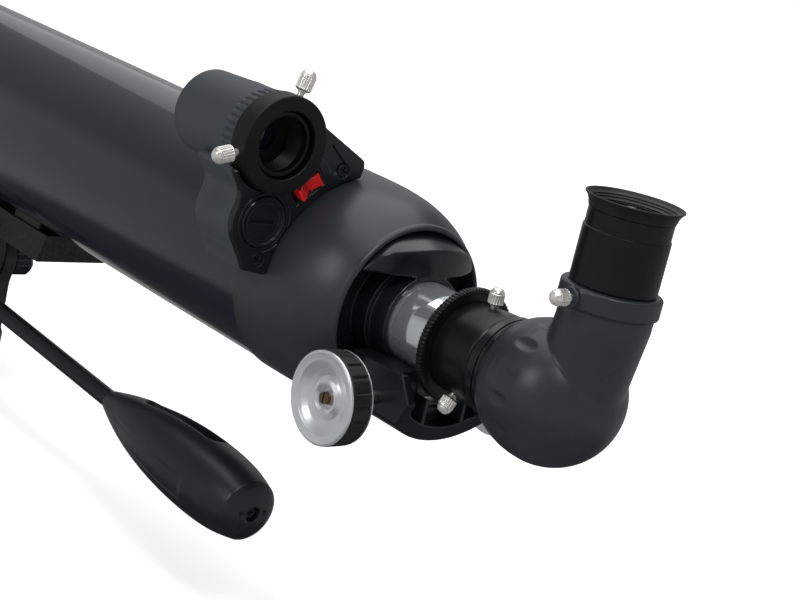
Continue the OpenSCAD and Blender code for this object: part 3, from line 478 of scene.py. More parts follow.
def housing_field(x, y, z):
    rho = np.hypot(x, z)
    d = lo_hi(outline(y, z, HOUSING_SIDE), np.abs(x) - HOUSING_HALF, 0.9)
    d = lo_hi(d, rho - 45.5, 1.2)
    d = np.maximum(d, y - 40)
    d = cut(d, envelope(rho, y, 0.05), 0.25)
    d = cut(d, rho - 19.6, 0.4)
    d = cut(d, np.maximum(rho - 21.8, 14.3 - y), 0.3)
    d = cut(d, np.maximum(rho - 27.5, y + 4.5), 0.4)
    pocket = lo_hi(np.maximum(rho - 38, y + 3.6), np.abs(x) - 22.5, 1.2)
    ribs = np.minimum(np.abs(x + 11.4) - 0.8, np.abs(x - 11.4) - 0.8)
    ribs = np.maximum(ribs, -(y + 12))
    d = cut(d, np.maximum(pocket, -ribs), 0.45)
    d = cut(d, np.maximum(np.abs(x) - 4.6, span(z, -24.4, 5)), 0.3)
    axle = np.hypot(y - PINION_Y, z - PINION_Z)
    d = cut(d, np.maximum(axle - 8.6, np.abs(x) - 6.5), 0.2)
    return cut(d, axle - 3.05, 0.3)


solid("pinion_housing_shell", housing_field, (-HOUSING_HALF, -16.5, -45.6), (HOUSING_HALF, 40, -15), 0.42, TUBE,
      "black", ["pinion_housing"])
DRAW_REAR, DRAW_FRONT = -13.1, 150
lathe("drawtube_shell", [(17.5, DRAW_REAR), (19, DRAW_REAR), (19, DRAW_FRONT), (17.5, DRAW_FRONT)], TUBE,
      "polished", ["drawtube"], segments=256)


KNOB_GROOVES = 20


def knob_space(side):
    return PINION @ Matrix.Rotation(radians(90 * side), 4, "Y")


def grip_grooves(th, r, h):
    around = (((th * KNOB_GROOVES / (2 * pi)) % 1) - 0.5) * 2 * pi * 20.4 / KNOB_GROOVES
    zone = np.clip((r - 18.6) / 1.2, 0, 1) * np.clip((54.6 - h) / 0.8, 0, 1)
    return zone * (-0.75 * np.exp(-(around / 0.62) ** 2) - 0.012 * around ** 2)


for side, word in ((-1, "left"), (1, "right")):
    lathe("knob_dish_" + word, [
        (3, 44.7), (20.1, 44.7, 0.15), (20.1, 45.15, 0.15), (17.9, 45.2), (17.9, 55.2), (20.0, 55.2, 0.15),
        (20.25, 55.7, 0.25), (20.0, 56.3, 0.3), (19.1, 56.65, 0.5), (17.6, 56.15, 0.8), (16.0, 55.9, 0.6),
        (15.0, 54.9, 1.2), (12.4, 53.3, 4), (9.2, 52.3, 0.9), (8.1, 53.2, 0.7), (7.0, 54.6, 0.5),
        (6.2, 54.5, 0.4), (5.1, 53.4, 0.5), (4.5, 51.5, 0.3), (3, 51.5)],
        knob_space(side), "silver", ["knob_" + word], axis="Z", segments=256, steps=6)
    lathe("knob_rubber_" + word, [
        (17.95, 45.25), (19.6, 45.25, 0.3), (20.4, 46, 0.6), (20.4, 50), (20.4, 53.6), (20.4, 54.5, 0.4),
        (19.9, 55.1, 0.3), (17.95, 55.1)],
        knob_space(side), "rubber", ["knob_grip_" + word], axis="Z", segments=480, mod=grip_grooves)


def ring_knurl(th, r, h):
    teeth = np.clip(1.6 - 2.6 * knurl_wave(th, 90), 0, 1)
    return -0.42 * teeth * np.clip((r - 25.3) / 0.4, 0, 1)


lathe("clamp_ring", [
    (19.05, -12), (25.5, -12, 0.15), (26, -12.4, 0.15), (26, -12.9), (26, -14.4), (26, -14.9, 0.15),
    (25.5, -15.3, 0.2), (24.0, -15.3, 0.2), (23.7, -15.1, 0.2), (21.6, -15.1, 0.2), (20.4, -15.3), (20.4, -14.4),
    (21, -14.4), (21, -13.2), (19.05, -13.2)], TUBE, "anodised", ["retaining_ring"], segments=1080, radius=0.15,
    steps=3, mod=ring_knurl)
lathe("adapter_body", [
    (14.6, -4), (17.45, -4), (17.45, -13.3), (20.9, -13.3), (20.9, -14.3), (20.3, -14.5, 0.2), (20.4, -20),
    (21.35, -30, 6), (21.6, -35.6), (21.4, -37.2, 0.8), (20.6, -38.3, 0.5), (15.95, -38.3, 0.3), (15.95, -18),
    (14.6, -18)], TUBE, "anodised", ["eyepiece_adapter"], segments=256)


SCREW_RIBS = 18


def thumbscrew(name, node, space, stud, z0, neck, r, top):
    """stud and r are radii; z0, neck and top are the heights of the tip, the head's underside and its crown."""
    lo, hi = neck + 1.0, top - 2.7

    def knurl(th, rr, h):
        zone = np.clip((h - lo) / 0.3, 0, 1) * np.clip((hi - h) / 0.3, 0, 1) * (rr > stud + 0.8)
        return -0.42 * zone * np.clip(1.5 - 2.2 * knurl_wave(th, SCREW_RIBS), 0, 1)

    lathe(name, [
        (0, z0), (stud - 0.3, z0), (stud, z0 + 0.4), (stud, neck - 0.6), (stud + 0.35, neck - 0.5, 0.1),
        (stud + 0.35, neck, 0.1), (r - 0.9, neck, 0.3), (r, neck + 0.8, 0.3), (r, neck + 1.2), (r, neck + 1.5),
        (r, hi - 0.5), (r, hi - 0.1), (r, hi + 0.2, 0.2), (r * 0.9, hi + 0.45, 0.2), (r * 0.92, hi + 1.0, 0.5),
        (r * 0.62, top - 0.35, 1.2), (r * 0.25, top, 1.0), (0, top)],
        space, "nickel", [node], axis="Z", segments=SCREW_RIBS * 12, steps=5, mod=knurl)


thumbscrew("screw_adapter_top", "adapter_screw_top", outward(TUBE, -25, 0, 0), 1.6, 15.9, 22.3, 3.4, 29.8)
thumbscrew("screw_adapter_side", "adapter_screw_side", outward(TUBE, -25, 0, -148), 1.6, 15.9, 22.3, 3.4, 29.8)
thumbscrew("screw_diagonal", "diagonal_screw", outward(TUBE, ARM_Y, BOSS_Z, -90), 1.6, 15.9, 25.0, 3.4, 33)
thumbscrew("screw_finder_up", "finder_screw_up", outward(FINDER, 64, 0, 15), 1.5, 14.9, 24.0, 3.6, 33.4)
thumbscrew("screw_finder_side", "finder_screw_side", outward(FINDER, 64, 0, -104), 1.5, 14.9, 24.0, 3.6, 33.4)

# ---------------------------------------------------------------- star diagonal and eyepiece

BALL_Y, NOSE_BACK, COLLAR = -69, -48.2, 50.5
lathe("diagonal_spigot", [
    (14.35, NOSE_BACK), (15.85, NOSE_BACK), (15.85, -19.4), (15.4, -19), (14.35, -19)], TUBE, "chrome",
    ["diagonal_nose"], segments=192)
lathe("diagonal_trim", [
    (15.87, -38.7), (21.7, -38.7, 0.3), (22.3, -39.3, 0.3), (22.4, -43.0, 0.15), (21.7, -43.2, 0.1),
    (21.7, -43.9, 0.1), (22.5, -44.1, 0.2), (22.6, -45.5, 0.1), (22.35, -45.6, 0.05), (22.35, -45.9, 0.05),
    (22.7, -46.0, 0.1), (23.0, -47.7, 0.2), (22.7, NOSE_BACK), (15.87, NOSE_BACK)],
    TUBE, "trim", ["diagonal_ring"], segments=256, radius=0.15)
NECK = [(0, NOSE_BACK), (24.1, NOSE_BACK), (24.7, -48.4), (25.2, -49.0), (26.4, -51.2), (28.2, -56), (29.4, -61),
        (29.9, -65.5), (30, -69), (0, -69)]
FLUTES, FLUTE_Y = 15, -66.0


def diagonal_field(x, y, z):
    rho = np.hypot(x, z)
    ball = np.sqrt(x * x + (y - BALL_Y) ** 2 + z * z) - 30
    body = np.minimum(ball, outline(rho, y, NECK))
    # finger flutes round the front of the ball
    for i in range(FLUTES):
        a = radians(-2 + i * 360 / FLUTES)
        u, v = x * cos(a) + z * sin(a), -x * sin(a) + z * cos(a)
        k = np.sqrt(((y - FLUTE_Y + 0.12 * (v - 30)) / 9.5) ** 2 + (u / 4.2) ** 2 + ((v - 31.75) / 2.7) ** 2)
        body = cut(body, (k - 1) * 2.6, 0.3)
    ya = y - ARM_Y
    arm_r = np.hypot(x, ya)
    lean = 4.5 * np.clip(1 - z / 36, 0, 1)  # the foot of the arm leans forwards into the ball
    arm = np.maximum(np.hypot(x, ya - lean) - (18.5 + 0.7 * np.clip(z / 42, 0, 1)), span(z, 0, COLLAR))
    lip = lo_hi(arm_r - 20.7, span(z, COLLAR - 8.4, COLLAR), 1.1)
    arm = join(arm, lip, 0.8)
    boss = lo_hi(np.hypot(ya, z - BOSS_Z) - 4.2, span(x, -23.2, -8), 0.7)
    arm = join(arm, boss, 1.2)
    body = join(body, np.maximum(arm, -z), 0.8)
    body = np.maximum(body, y - NOSE_BACK)
    bore = np.maximum(rho - 14.35, -(y + 74))
    body = np.maximum(body, -bore)
    body = cut(body, np.maximum(arm_r - 15.95, 24 - z), 0.35)
    well = np.maximum(arm_r - 10.5, span(z, 10, 27))
    prism = np.maximum(np.abs(x) - 11.1, outline(y, z, [(-72.9, 11.1), (-72.9, -11.1), (-95.1, 11.1)]))
    body = np.maximum(body, -np.minimum(well, prism))
    return cut(body, np.maximum(np.hypot(ya, z - BOSS_Z) - 1.7, x + 10), 0.3)


solid("diagonal_housing", diagonal_field, (-30, -105, -30), (30, -45, COLLAR), 0.5, TUBE, "diagonal",
      ["diagonal_body"])

lathe("eyepiece_tube", [(14.25, 25), (15.85, 25, 0.3), (15.85, 56.7), (14.25, 56.7)], EYE, "chrome",
      ["eyepiece_barrel"], axis="Z", segments=192)
eye_well = []
for i in range(3):
    eye_well += [(13.7 - i * 0.35, 81.0 - i * 1.7, 0.1), (13.1 - i * 0.35, 80.1 - i * 1.7, 0.1)]
lathe("eyepiece_shell", [
    (15.87, 50.7), (17.3, 50.7, 0.2), (17.8, 51.2, 0.3), (17.8, 72.8), (17.75, 73.1, 0.2), (17.3, 73.4, 0.1),
    (17.3, 80.3), (17.1, 80.5), (16.4, 80.5), (16.4, 81.7), (13.7, 81.7, 0.2)] + eye_well + [
    (9.6, 75.8, 0.4), (9.05, 75.2), (9.05, 68.5), (13.5, 66.5), (13.5, 56.8), (15.87, 56.8)],
    EYE, "anodised", ["eyepiece_body"], axis="Z", segments=256, radius=0.15)
CUP_TOP, CUP_LOW, CUP_RINGS = 84.8, 81.9, 3
cup_step = (CUP_TOP - CUP_LOW) / CUP_RINGS
cup_inside = []
for i in range(CUP_RINGS):
    cup_inside += [(18.3 - i, CUP_TOP - i * cup_step, 0.12), (17.0 - i, CUP_TOP - (i + 0.7) * cup_step, 0.12)]
lathe("eyecup_rubber", [
    (16.45, 80.6), (17.6, 80.6, 0.25), (17.75, 81.3, 1.5), (18.1, 82.7, 3), (18.9, 84.4, 3), (20.1, 85.6, 0.3),
    (20.0, 86, 0.2), (19.4, 86, 0.2), (18.8, 85.3, 0.3)] + cup_inside + [(14.6, 81.9), (16.45, 81.9)],
    EYE, "rubber", ["eyecup"], axis="Z", segments=256, radius=0.15)

# ---------------------------------------------------------------- finder

def ridge(th, r, h):
    zone = np.clip((h - 69.7) / 0.5, 0, 1) * np.clip((77.3 - h) / 0.8, 0, 1) * (r > 19.9)
    return -0.75 * zone * np.clip(1.7 - 2.9 * knurl_wave(th, 40), 0, 1)


lathe("finder_shell", [
    (16.5, 68.6), (20.9, 68.6, 0.3), (20.95, 69.5), (20.95, 70.2), (20.9, 72), (20.75, 74), (20.55, 76),
    (20.4, 76.8), (20.25, 77.4), (20.15, 78.2), (20.15, 92.2), (19.9, 94, 1), (19.0, 116.4, 0.4),
    (18.4, 117, 0.4), (17.3, 117, 0.3), (17.3, 76), (16.5, 76)],
    FINDER, "slate", ["finder_tube"], segments=640, radius=0.25, mod=ridge)
lathe("finder_rear_ring", [
    (15.3, 58.6, 0.3), (21.2, 58.6, 0.35), (21.7, 59.1, 0.3), (21.7, 68.5, 0.2), (15.6, 68.5), (15.6, 60.3, 0.1),
    (15.25, 60.1, 0.1), (15.05, 59.0, 0.15)], FINDER, "flat", ["finder_ring"], segments=256)
seat = [(math.sqrt(17.2 ** 2 - y * y), 100 + y) for y in range(-4, 5)]
threads = []
for i in range(8):
    threads += [(12.4, 74 - i * 1.2, 0.1), (12.75, 73.6 - i * 1.2, 0.1), (12.75, 73.4 - i * 1.2, 0.1),
                (12.4, 73.0 - i * 1.2, 0.1)]
lathe("finder_inner", [(12.4, 61, 0.3), (14.2, 61, 0.3), (14.2, 96)] + seat[1:] + [
    (12.4, 104), (12.4, 75.5), (6, 75.5), (6, 74, 0.2)] + threads,
    FINDER, "flat", ["finder_barrel"], segments=192, radius=0.15)

FINDER_OUTLINE = [(-9.5, 50), (-8.4, 55.5), (-9.2, 58.3), (-11.5, 59.9), (-36.5, 72.8), (-60, 66), (-79.5, 49.5),
                  (-73, 40), (-62, 26), (-67, 14.5), (-64.4, 6), (-46, 3), (-30, 20)]
CAP_X, CAP_Z = -58.3, 28.3
SCREWS = [(-57.2, 11.3), (-20.6, 53.2)]
SWITCH = (-39.1, 45, -40)  # x, z and turn of the rocker switch


def turned(x, z, px, pz, degrees):
    """Coordinates in a box at (px, pz), turned about Y."""
    a = radians(degrees)
    return (x - px) * cos(a) - (z - pz) * sin(a), (x - px) * sin(a) + (z - pz) * cos(a)


def finder_plan(x, z, shrink=0.0):
    """Outline of the base seen from behind, clear of the tube and of the finder's rear ring."""
    d = outline(x, z, FINDER_OUTLINE)
    d = join(d, np.hypot(x - CAP_X, z - CAP_Z) - 17, 5.0)
    d = lo_hi(d + shrink, 51.4 - np.hypot(x, z), 0.6)
    return lo_hi(d, 22.3 - np.hypot(x - FINDER_X, z - FINDER_Z), 0.5)


def base_field(x, y, z):
    fr = np.hypot(x - FINDER_X, z - FINDER_Z)
    d = lo_hi(finder_plan(x, z), span(y, 67, 92), 0.9)
    cradle = np.maximum(fr - 24.6, outline(x, z, [(-36.5, 72.8), (-60, 66), (-79.5, 49.5), (-73, 38), (-30, 55)]))
    cradle = np.maximum(lo_hi(cradle, span(y, 70, 92), 0.9), 51.4 - np.hypot(x, z))
    d = join(d, cradle, 1.5)
    d = cut(d, 0 * y + fr - 20.2, 0.3)
    d = cut(d, np.maximum(fr - 21.1, y - 79), 0.3)
    cap = np.hypot(x - CAP_X, z - CAP_Z)
    d = np.maximum(d, -np.maximum(cap - 11.6, y - 72))
    d = np.maximum(d, -np.maximum(cap - 10.2, y - 88))
    u, v = turned(x, z, *SWITCH)
    d = np.maximum(d, -np.maximum(box2(u, v, 8.2, 3.6), y - 78))
    for px, pz in SCREWS:
        d = np.maximum(d, -np.maximum(np.hypot(x - px, z - pz) - 1.6, y - 89))
    return d


def plate_field(x, y, z):
    d = lo_hi(finder_plan(x, z, 0.35), span(y, 64, 66.95), 0.6)
    cap = np.hypot(x - CAP_X, z - CAP_Z)
    d = cut(d, cap - 11.8 + 0 * y, 0.35)
    d = cut(d, np.maximum(np.abs(cap - 13.5) - 0.25, y - 64.35), 0.1)
    u, v = turned(x, z, *SWITCH)
    d = cut(d, box2(u, v, 8, 3.4, 0.4) + 0 * y, 0.25)
    frame_cut = np.maximum(np.abs(box2(u, v, 9.2, 4.6, 0.8)) - 0.22, y - 64.35)
    d = cut(d, frame_cut, 0.08)
    u, v = turned(x, z, -27.6, 58, 40)
    d = cut(d, np.maximum(box2(u, v, 6.4, 3.7, 0.5), y - 65), 0.2)
    for px, pz in SCREWS:
        s = np.hypot(x - px, z - pz)
        d = cut(d, np.maximum(s - 3.2, y - 65.4), 0.25)
        d = np.maximum(d, -(s - 1.7 + 0 * y))
    return d


solid("finder_saddle", base_field, (-84, 67, 2), (-8, 92, 88), 0.5, TUBE, "slate", ["finder_base"])
solid("finder_back_plate", plate_field, (-82, 64, 2), (-8, 67, 75), 0.3, TUBE, "black", ["finder_plate"])


def cross(u, v, d, size, width, depth):
    """Cross-shaped recess of a screw head, d = depth coordinate from the face inwards."""
    arm = np.minimum(box2(u, v, size, width), box2(u, v, width, size))
    return np.maximum(arm + 0.25 * np.maximum(d, 0), d - depth)


def cap_field(x, y, z):
    r = np.hypot(x, z)
    d = outline(r, y, [(0, 64.6), (9.9, 64.6), (10.15, 63.7), (10.9, 63.5), (11.5, 64.2), (11.5, 71), (0, 71)])
    slot_cut = np.maximum(box2(x, z, 6.2, 0.8, 0.4), y - 66.1)
    d = cut(d, slot_cut, 0.3)
    return cut(d, np.maximum(np.abs(r - 8.4) - 0.18, y - 64.85), 0.1)


solid("battery_cover", cap_field, (-11.5, 63.4, -11.5), (11.5, 71, 11.5), 0.26,
      TUBE @ Matrix.Translation((CAP_X, 0, CAP_Z)), "black", ["battery_cap"])


def screws_field(x, y, z):
    d = None
    for px, pz in SCREWS:
        u, v = x - px, z - pz
        s = np.hypot(u, v)
        one = np.minimum(lo_hi(s - 3, span(y, 64.2, 65.4), 0.35), np.maximum(s - 1.5, span(y, 65.2, 84)))
        one = cut(one, cross(*turned(x, z, px, pz, 25), y - 64.2, 1.9, 0.38, 0.9), 0.08)
        d = one if d is None else np.minimum(d, one)
    return d


solid("finder_plate_screws", screws_field, (-60.3, 64.2, 8), (-17.5, 66.6, 56.4), 0.2, TUBE, "steel",
      ["plate_screws"])
ROCKER = [(-6.6, -6.9), (-5.8, -7.9), (0, -4.5), (5.8, -7.9), (6.6, -6.9), (5.6, -1), (2.4, 3.4), (-2.4, 3.4),
          (-5.6, -1)]
ROCKER_HALF = 3.1
solid("rocker", lambda x, y, z: lo_hi(outline(x, y, ROCKER) + 0.0 * z, np.abs(z) - ROCKER_HALF, 0.5),
      (-6.7, -8, -ROCKER_HALF), (6.7, 3.5, ROCKER_HALF), 0.2,
      TUBE @ Matrix.Translation((SWITCH[0], 69, SWITCH[1])) @ Matrix.Rotation(radians(SWITCH[2]), 4, "Y")
      @ Matrix.Rotation(radians(7), 4, "Z"), "red", ["finder_switch"])

# ---------------------------------------------------------------- pan handle

GRIP_FRONT, GRIP_LENGTH = -212.0, 127.0
GRIP_END, ROD_END, BAR_R = GRIP_FRONT - GRIP_LENGTH, -282, 4.65
GRIP_R = [5.6, 8.6, 11.2, 13.4, 15.2, 16.6, 17.7, 18.5, 19, 19.2, 19.1, 18.6, 17.4, 14.9]
t_dense = np.linspace(0, 1, 40)
grip_r = np.interp(t_dense, np.linspace(0, 1, len(GRIP_R)), GRIP_R)
grip_r = np.convolve(np.pad(grip_r, 2, "reflect", reflect_type="odd"), np.ones(5) / 5, "valid")
grip_line = [(r, GRIP_FRONT - 0.5 - t * (GRIP_LENGTH - 5)) for r, t in zip(grip_r, t_dense)]
grip_poly = [(0, GRIP_FRONT), (4.9, GRIP_FRONT)] + grip_line + [
    (12.6, GRIP_END + 2.7), (9.6, GRIP_END + 1.4), (5.5, GRIP_END + 0.4), (0, GRIP_END)]


def grip_field(x, y, z):
    rho = np.hypot(x, z)
    d = outline(rho, y, grip_poly)
    # long shallow facet on the outer side, between y -306 and -228
    angle = np.arctan2(z, -x)
    along = np.clip((y + 306) / 3, 0, 1) * np.clip((-228 - y) / 12, 0, 1)
    side = np.clip((0.34 - np.abs(angle + 0.12)) / 0.07, 0, 1)
    d = d + 0.5 * along * side
    # recess along the top, with a ledge near its narrow end
    tilt = radians(12)
    across, high = x * cos(tilt) - z * sin(tilt), x * sin(tilt) + z * cos(tilt)
    scoop = box2(across, y + 270, 5.6, 31, 5.4)
    d = cut(d, lo_hi(scoop, 12.0 - high, 2.0), 0.7)
    d = cut(d, np.maximum(box2(across, y + 246, 3.4, 6, 3.2), 8.0 - high), 0.5)
    d = cut(d, np.maximum(rho - 3.6, y - (GRIP_END + 5)), 0.5)
    for px in (-6.5, 6.5):
        d = cut(d, np.sqrt((x - px) ** 2 + z * z + (y - GRIP_END) ** 2) - 1.6, 0.4)
    return np.maximum(d, -np.maximum(rho - 4.66, ROD_END - 0.2 - y))


solid("grip_shell", grip_field, (-19.3, GRIP_END, -19.3), (19.3, GRIP_FRONT + 0.1, 19.3), 0.5, HANDLE, "grip",
      ["handle_grip"])
lathe("handle_bar", [(0, -8.2), (BAR_R, -8.2), (BAR_R, ROD_END), (0, ROD_END)], HANDLE, "steel", ["handle_rod"],
      segments=96)
solid("grip_end_screw", lambda x, y, z: cut(
    np.minimum(lo_hi(np.hypot(x, z) - 3, span(y, GRIP_END + 2.4, GRIP_END + 5), 0.5),
               np.maximum(np.hypot(x, z) - 1.5, span(y, GRIP_END + 4, GRIP_END + 20))),
    cross(x, z, y - (GRIP_END + 2.4), 1.8, 0.35, 1.2), 0.08),
    (-3, GRIP_END + 2.4, -3), (3, GRIP_END + 20, 3), 0.2, HANDLE, "steel", ["grip_screw"])

# ---------------------------------------------------------------- pan head

lathe("head_base_casting", [
    (4.76, 0, 0.3), (23.5, 0, 0.5), (24.5, 1, 0.5), (24.5, 3.6, 0.2), (24.0, 4.0, 0.2), (24.0, 4.6, 0.2),
    (24.5, 5.0, 0.2), (24.5, 11, 0.8), (22.5, 14, 0.4), (8, 14), (8, 20.6), (7.2, 21.2, 0.6), (7.2, 22.8, 0.6),
    (8, 23.4), (8, 36), (7, 37), (0, 37), (0, 12), (4.76, 12)],
    HEAD, "head", ["azimuth_base"], axis="Z", segments=192)


def yoke_field(x, y, z):
    r = np.hypot(x, y)
    d = lo_hi(r - 24.5, span(z, 14.3, 26), 1.2)
    a = np.abs(x) - 18.2
    axle = np.hypot(y, z - TILT_Z)
    cheek = join(axle - 13, box2(y, z - 46, 10, 26), 6)
    cheek = lo_hi(cheek, np.abs(a) - 3.8, 1.0)
    d = join(d, cheek, 3.0)
    web = lo_hi(np.maximum(r - 24.4, span(z, 24, 42)), box2(x, y, 20, 11, 2), 1.0)
    d = join(d, web, 2.0)
    d = cut(d, np.maximum(axle - 15.5, np.abs(x) - 14.4), 0.6)
    d = cut(d, np.maximum(r - 8.05, z - 38), 0.4)
    d = cut(d, axle - 5.05 + 0 * x, 0.5)
    return cut(d, np.maximum(np.hypot(x, z - 22) - 3.1, -y), 0.5)


solid("yoke_casting", yoke_field, (-24.5, -24.5, 14.3), (24.5, 24.5, 85), 0.6, HEAD, "head", ["pan_body"])
SADDLE_FLOOR = 100.7
SADDLE_LOW, CLAMP_Z = SADDLE_FLOOR - 8, SADDLE_FLOOR + 5.5


def saddle_field(x, y, z):
    axle = np.hypot(y, z - TILT_Z)
    d = lo_hi(axle - 13, np.abs(x) - 14, 1.0)
    d = join(d, lo_hi(box2(x, y, 14, 12, 1.5), span(z, TILT_Z, SADDLE_LOW + 2), 0.8), 2.5)
    shape = outline(x, z, [(-29, SADDLE_LOW), (29, SADDLE_LOW), (31, SADDLE_LOW + 4), (28.5, SADDLE_FLOOR + 11),
                           (-28.5, SADDLE_FLOOR + 11), (-31, SADDLE_LOW + 4)])
    block = lo_hi(shape, np.abs(y) - 42, 1.4)
    groove = outline(x, z, [(-22.2, SADDLE_FLOOR), (22.9, SADDLE_FLOOR), (20, SADDLE_FLOOR + 12),
                            (-19.1, SADDLE_FLOOR + 12)])
    d = join(d, block, 3.0)
    d = cut(d, groove + 0 * y, 0.7)
    for yy in (-28, 28):
        d = cut(d, np.maximum(box2(x, y - yy, 22, 9, 3), z - (SADDLE_LOW + 2.6)), 0.6)
    d = cut(d, axle - 5 + 0 * x, 0.4)
    return cut(d, np.maximum(np.hypot(y, z - CLAMP_Z) - 3.1, 15 - x), 0.5)


solid("saddle_casting", saddle_field, (-31, -42, 59), (31, 42, SADDLE_FLOOR + 11), 0.6, HEAD, "head",
      ["tilt_saddle"])


def axle_field(x, y, z):
    zz = z - TILT_Z
    d = lo_hi(np.hypot(y, zz) - 5, span(x, -23, 28), 0.4)
    d = np.minimum(d, lo_hi(np.hypot(y, zz) - 13, span(x, -36.8, -23), 1.2))
    a = HANDLE_TILT
    yh, zh = y * cos(a) + zz * sin(a), -y * sin(a) + zz * cos(a)
    rod = np.hypot(x - HANDLE_X, zh)
    d = join(d, lo_hi(rod - 7.5, span(yh, -30, 0), 0.8), 2.0)
    d = cut(d, np.maximum(rod - 4.66, yh + 8), 0.4)
    return cut(d, np.maximum(box2(y, zz, 5, 0.9), x + 35.6), 0.3)


solid("axle_casting", axle_field, (-37, -31, 58), (28, 14, 86), 0.5, HEAD, "steel", ["tilt_axle"])


LOBES, LOBE_DEPTH = 5, 1.9


def lobed(name, node, space, stud_from, y0, r, h, bore=0.0):
    """Clamping knob of radius r and height h from y0 on, with a stud from stud_from or with a bore."""
    def lobes(th, rr, _):
        hollow = LOBE_DEPTH * np.clip(np.cos(th * LOBES), 0, 1) ** 1.5
        return np.where(rr > bore + 4.2, -hollow * np.clip((rr - bore - 4) / 3, 0, 1), 0)

    hub = [(bore, y0 + h - 1.4)] if bore else [(0, y0 + h - 1.2)]
    head = [(bore if bore else 3.0, y0), (r - 1, y0, 0.6), (r, y0 + 1.2, 0.8), (r, y0 + h - 2.2, 1.2),
            (r - 1.6, y0 + h - 0.2, 1.0), (r * 0.62, y0 + h, 0.6), (r * 0.55, y0 + h - 1.2, 0.5)] + hub
    if not bore:
        head = [(0, stud_from), (3.0, stud_from), (3.0, y0)] + head[1:]
    lathe(name, head, space, "black", [node], segments=240, mod=lobes)


RIGHT = Matrix.Rotation(radians(-90), 4, "Z")
lobed("azimuth_lever", "azimuth_knob", HEAD @ Matrix.Translation((0, 0, 22)), 8.2, 26.9, 11, 10)
lobed("saddle_lever", "saddle_knob", HEAD @ Matrix.Translation((0, 0, CLAMP_Z)) @ RIGHT, 21.4, 33.9, 12, 11)
lobed("tilt_lever", "tilt_knob", HEAD @ Matrix.Translation((0, 0, TILT_Z)) @ RIGHT, 0, 22.4, 13, 13, bore=5.1)

# ---------------------------------------------------------------- CAD nodes that stay, with this scene's looks

KEPT = {
    "tube_baffles": "flat", "crown_lens": "glass", "flint_lens": "glass", "lens_spacer": "anodised",
    "lens_retaining_ring": "flat", "dovetail_bar": "anodised", "dovetail_screws": "zinc", "focus_rack": "brass",
    "pinion_shaft": "zinc", "knob_screws": "brass", "diagonal_prism": "glass", "eyepiece_lenses": "coated",
    "battery": "cellmetal", "finder_lens": "coated", "finder_window": "coated",
}
BAR_BEVEL, SCREW_BEVEL = 0.0005, 0.00012
for node, look in KEPT.items():
    o = frame["nodes"][node]
    o.data.materials.clear()
    o.data.materials.append(M[look])
    if node in ("dovetail_bar", "knob_screws", "dovetail_screws"):
        w = o.modifiers.new("weld", "WELD")
        w.merge_threshold = WELD_DISTANCE
        bev = o.modifiers.new("bevel", "BEVEL")
        bev.width = BAR_BEVEL if node == "dovetail_bar" else SCREW_BEVEL
        bev.segments = 2
        bev.limit_method = "ANGLE"
        bev.angle_limit = radians(35)

# ---------------------------------------------------------------- stage, lights, camera

def stage_plane():
    """Floor that bends up into a wall behind the telescope, in metres."""
    me = bpy.data.meshes.new("floor")
    near, far, bend, steps, wall, half = 4.0, 1.6, 0.8, 16, 4.0, 5.0
    curve = [(far + bend * sin(a), bend * (1 - cos(a))) for a in np.linspace(0, pi / 2, steps)[1:]]
    rows = [(-near, 0.0), (far, 0.0)] + curve + [(far + bend, wall)]
    d = Vector((0.69, 0.72, 0)).normalized()
    s = Vector((d.y, -d.x, 0))
    verts, faces = [], []
    for along, up in rows:
        for side in (-half, half):
            verts.append(d * along + s * side + Vector((0, 0, up)))
    for i in range(len(rows) - 1):
        faces.append((2 * i, 2 * i + 1, 2 * i + 3, 2 * i + 2))
    me.from_pydata([tuple(v) for v in verts], [], faces)
    me.polygons.foreach_set("use_smooth", [True] * len(me.polygons))
    o = bpy.data.objects.new("floor", me)
    bpy.context.scene.collection.objects.link(o)
    m = finish("paper", (0.80, 0.80, 0.80), 0.9, spec=0.1, grain=(300, 0.02), vary=(3, 0.01), smudge=(3, 0.05))
    glow = m.node_tree.nodes["Principled BSDF"]
    glow.inputs["Emission Color"].default_value = (1, 1, 1, 1)
    glow.inputs["Emission Strength"].default_value = 0.55
    me.materials.append(m)
    o.visible_glossy = False


stage_plane()
scene = bpy.context.scene
scene.view_settings.view_transform = "Standard"
world = bpy.data.worlds.new("studio")
scene.world = world
world.use_nodes = True
wn, wl = world.node_tree.nodes, world.node_tree.links
wn["Background"].inputs["Color"].default_value = (1, 1, 1, 1)
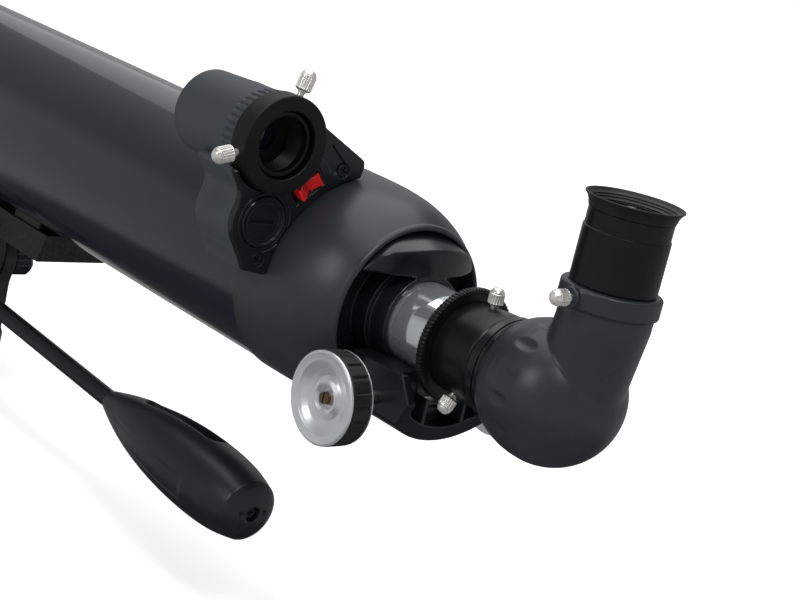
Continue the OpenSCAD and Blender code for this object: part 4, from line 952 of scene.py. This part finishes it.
# What the gloss sees, by the height of the direction: dark under the table, white table, walls, dim ceiling
ROOM = [(-0.54, 0.03), (-0.48, 0.30), (0.20, 0.34), (0.34, 0.20), (1.0, 0.20)]
height = wn.new("ShaderNodeSeparateXYZ")
wl.new(wn.new("ShaderNodeTexCoord").outputs["Generated"], height.inputs[0])
place = add(wn, "ShaderNodeMapRange", **{"From_Min": -1.0, "From_Max": 1.0})
wl.new(height.outputs["Z"], place.inputs["Value"])
room = wn.new("ShaderNodeValToRGB")
wl.new(place.outputs["Result"], room.inputs["Fac"])
stops = room.color_ramp.elements
while len(stops) < len(ROOM):
    stops.new(0.5)
for stop, (z, grey) in zip(stops, ROOM):
    stop.position = (z + 1) / 2
    stop.color = (grey, grey, grey, 1)
seen = wn.new("ShaderNodeLightPath")
level = wn.new("ShaderNodeMix")
level.data_type = "FLOAT"
wl.new(seen.outputs["Is Camera Ray"], level.inputs["Factor"])
wl.new(room.outputs["Color"], level.inputs["A"])
level.inputs["B"].default_value = 1.0
wl.new(level.outputs["Result"], wn["Background"].inputs["Strength"])


def lamp(name, location, width, height, power):
    """Softbox that faces AIM."""
    data = bpy.data.lights.new(name, "AREA")
    data.shape = "RECTANGLE"
    data.size, data.size_y = width, height
    data.energy = power
    o = bpy.data.objects.new(name, data)
    bpy.context.scene.collection.objects.link(o)
    o.location = location
    o.rotation_mode = "QUATERNION"
    o.rotation_quaternion = (Vector(AIM) - Vector(location)).to_track_quat("-Z", "Y")


AIM = (0.0, -0.35, 0.17)
lamp("ceiling_box", (0.15, 0.0, 1.9), 2.1, 2.1, 24)
lamp("front_box", (-0.61, -1.20, 1.51), 0.28, 0.28, 6)
lamp("back_card", (0.78, 0.74, 1.03), 1.2, 1.2, 1.6)
lamp("left_box", (-1.44, -0.32, 0.86), 0.4, 0.6, 4)

cam_data = bpy.data.cameras.new("camera")
cam = bpy.data.objects.new("camera", cam_data)
bpy.context.scene.collection.objects.link(cam)
cam_data.sensor_width = 36.0
cam_data.lens = 81.6
right, up, back = (0.7426, -0.6304, 0.2262), (-0.0062, 0.3313, 0.9435), (-0.6697, -0.7021, 0.2421)
pose = Matrix((right, up, back)).transposed().to_4x4()
pose.translation = Vector((-0.5363, -0.9308, 0.3656))
cam.matrix_world = pose
bpy.context.scene.camera = cam

bpy.context.view_layer.update()
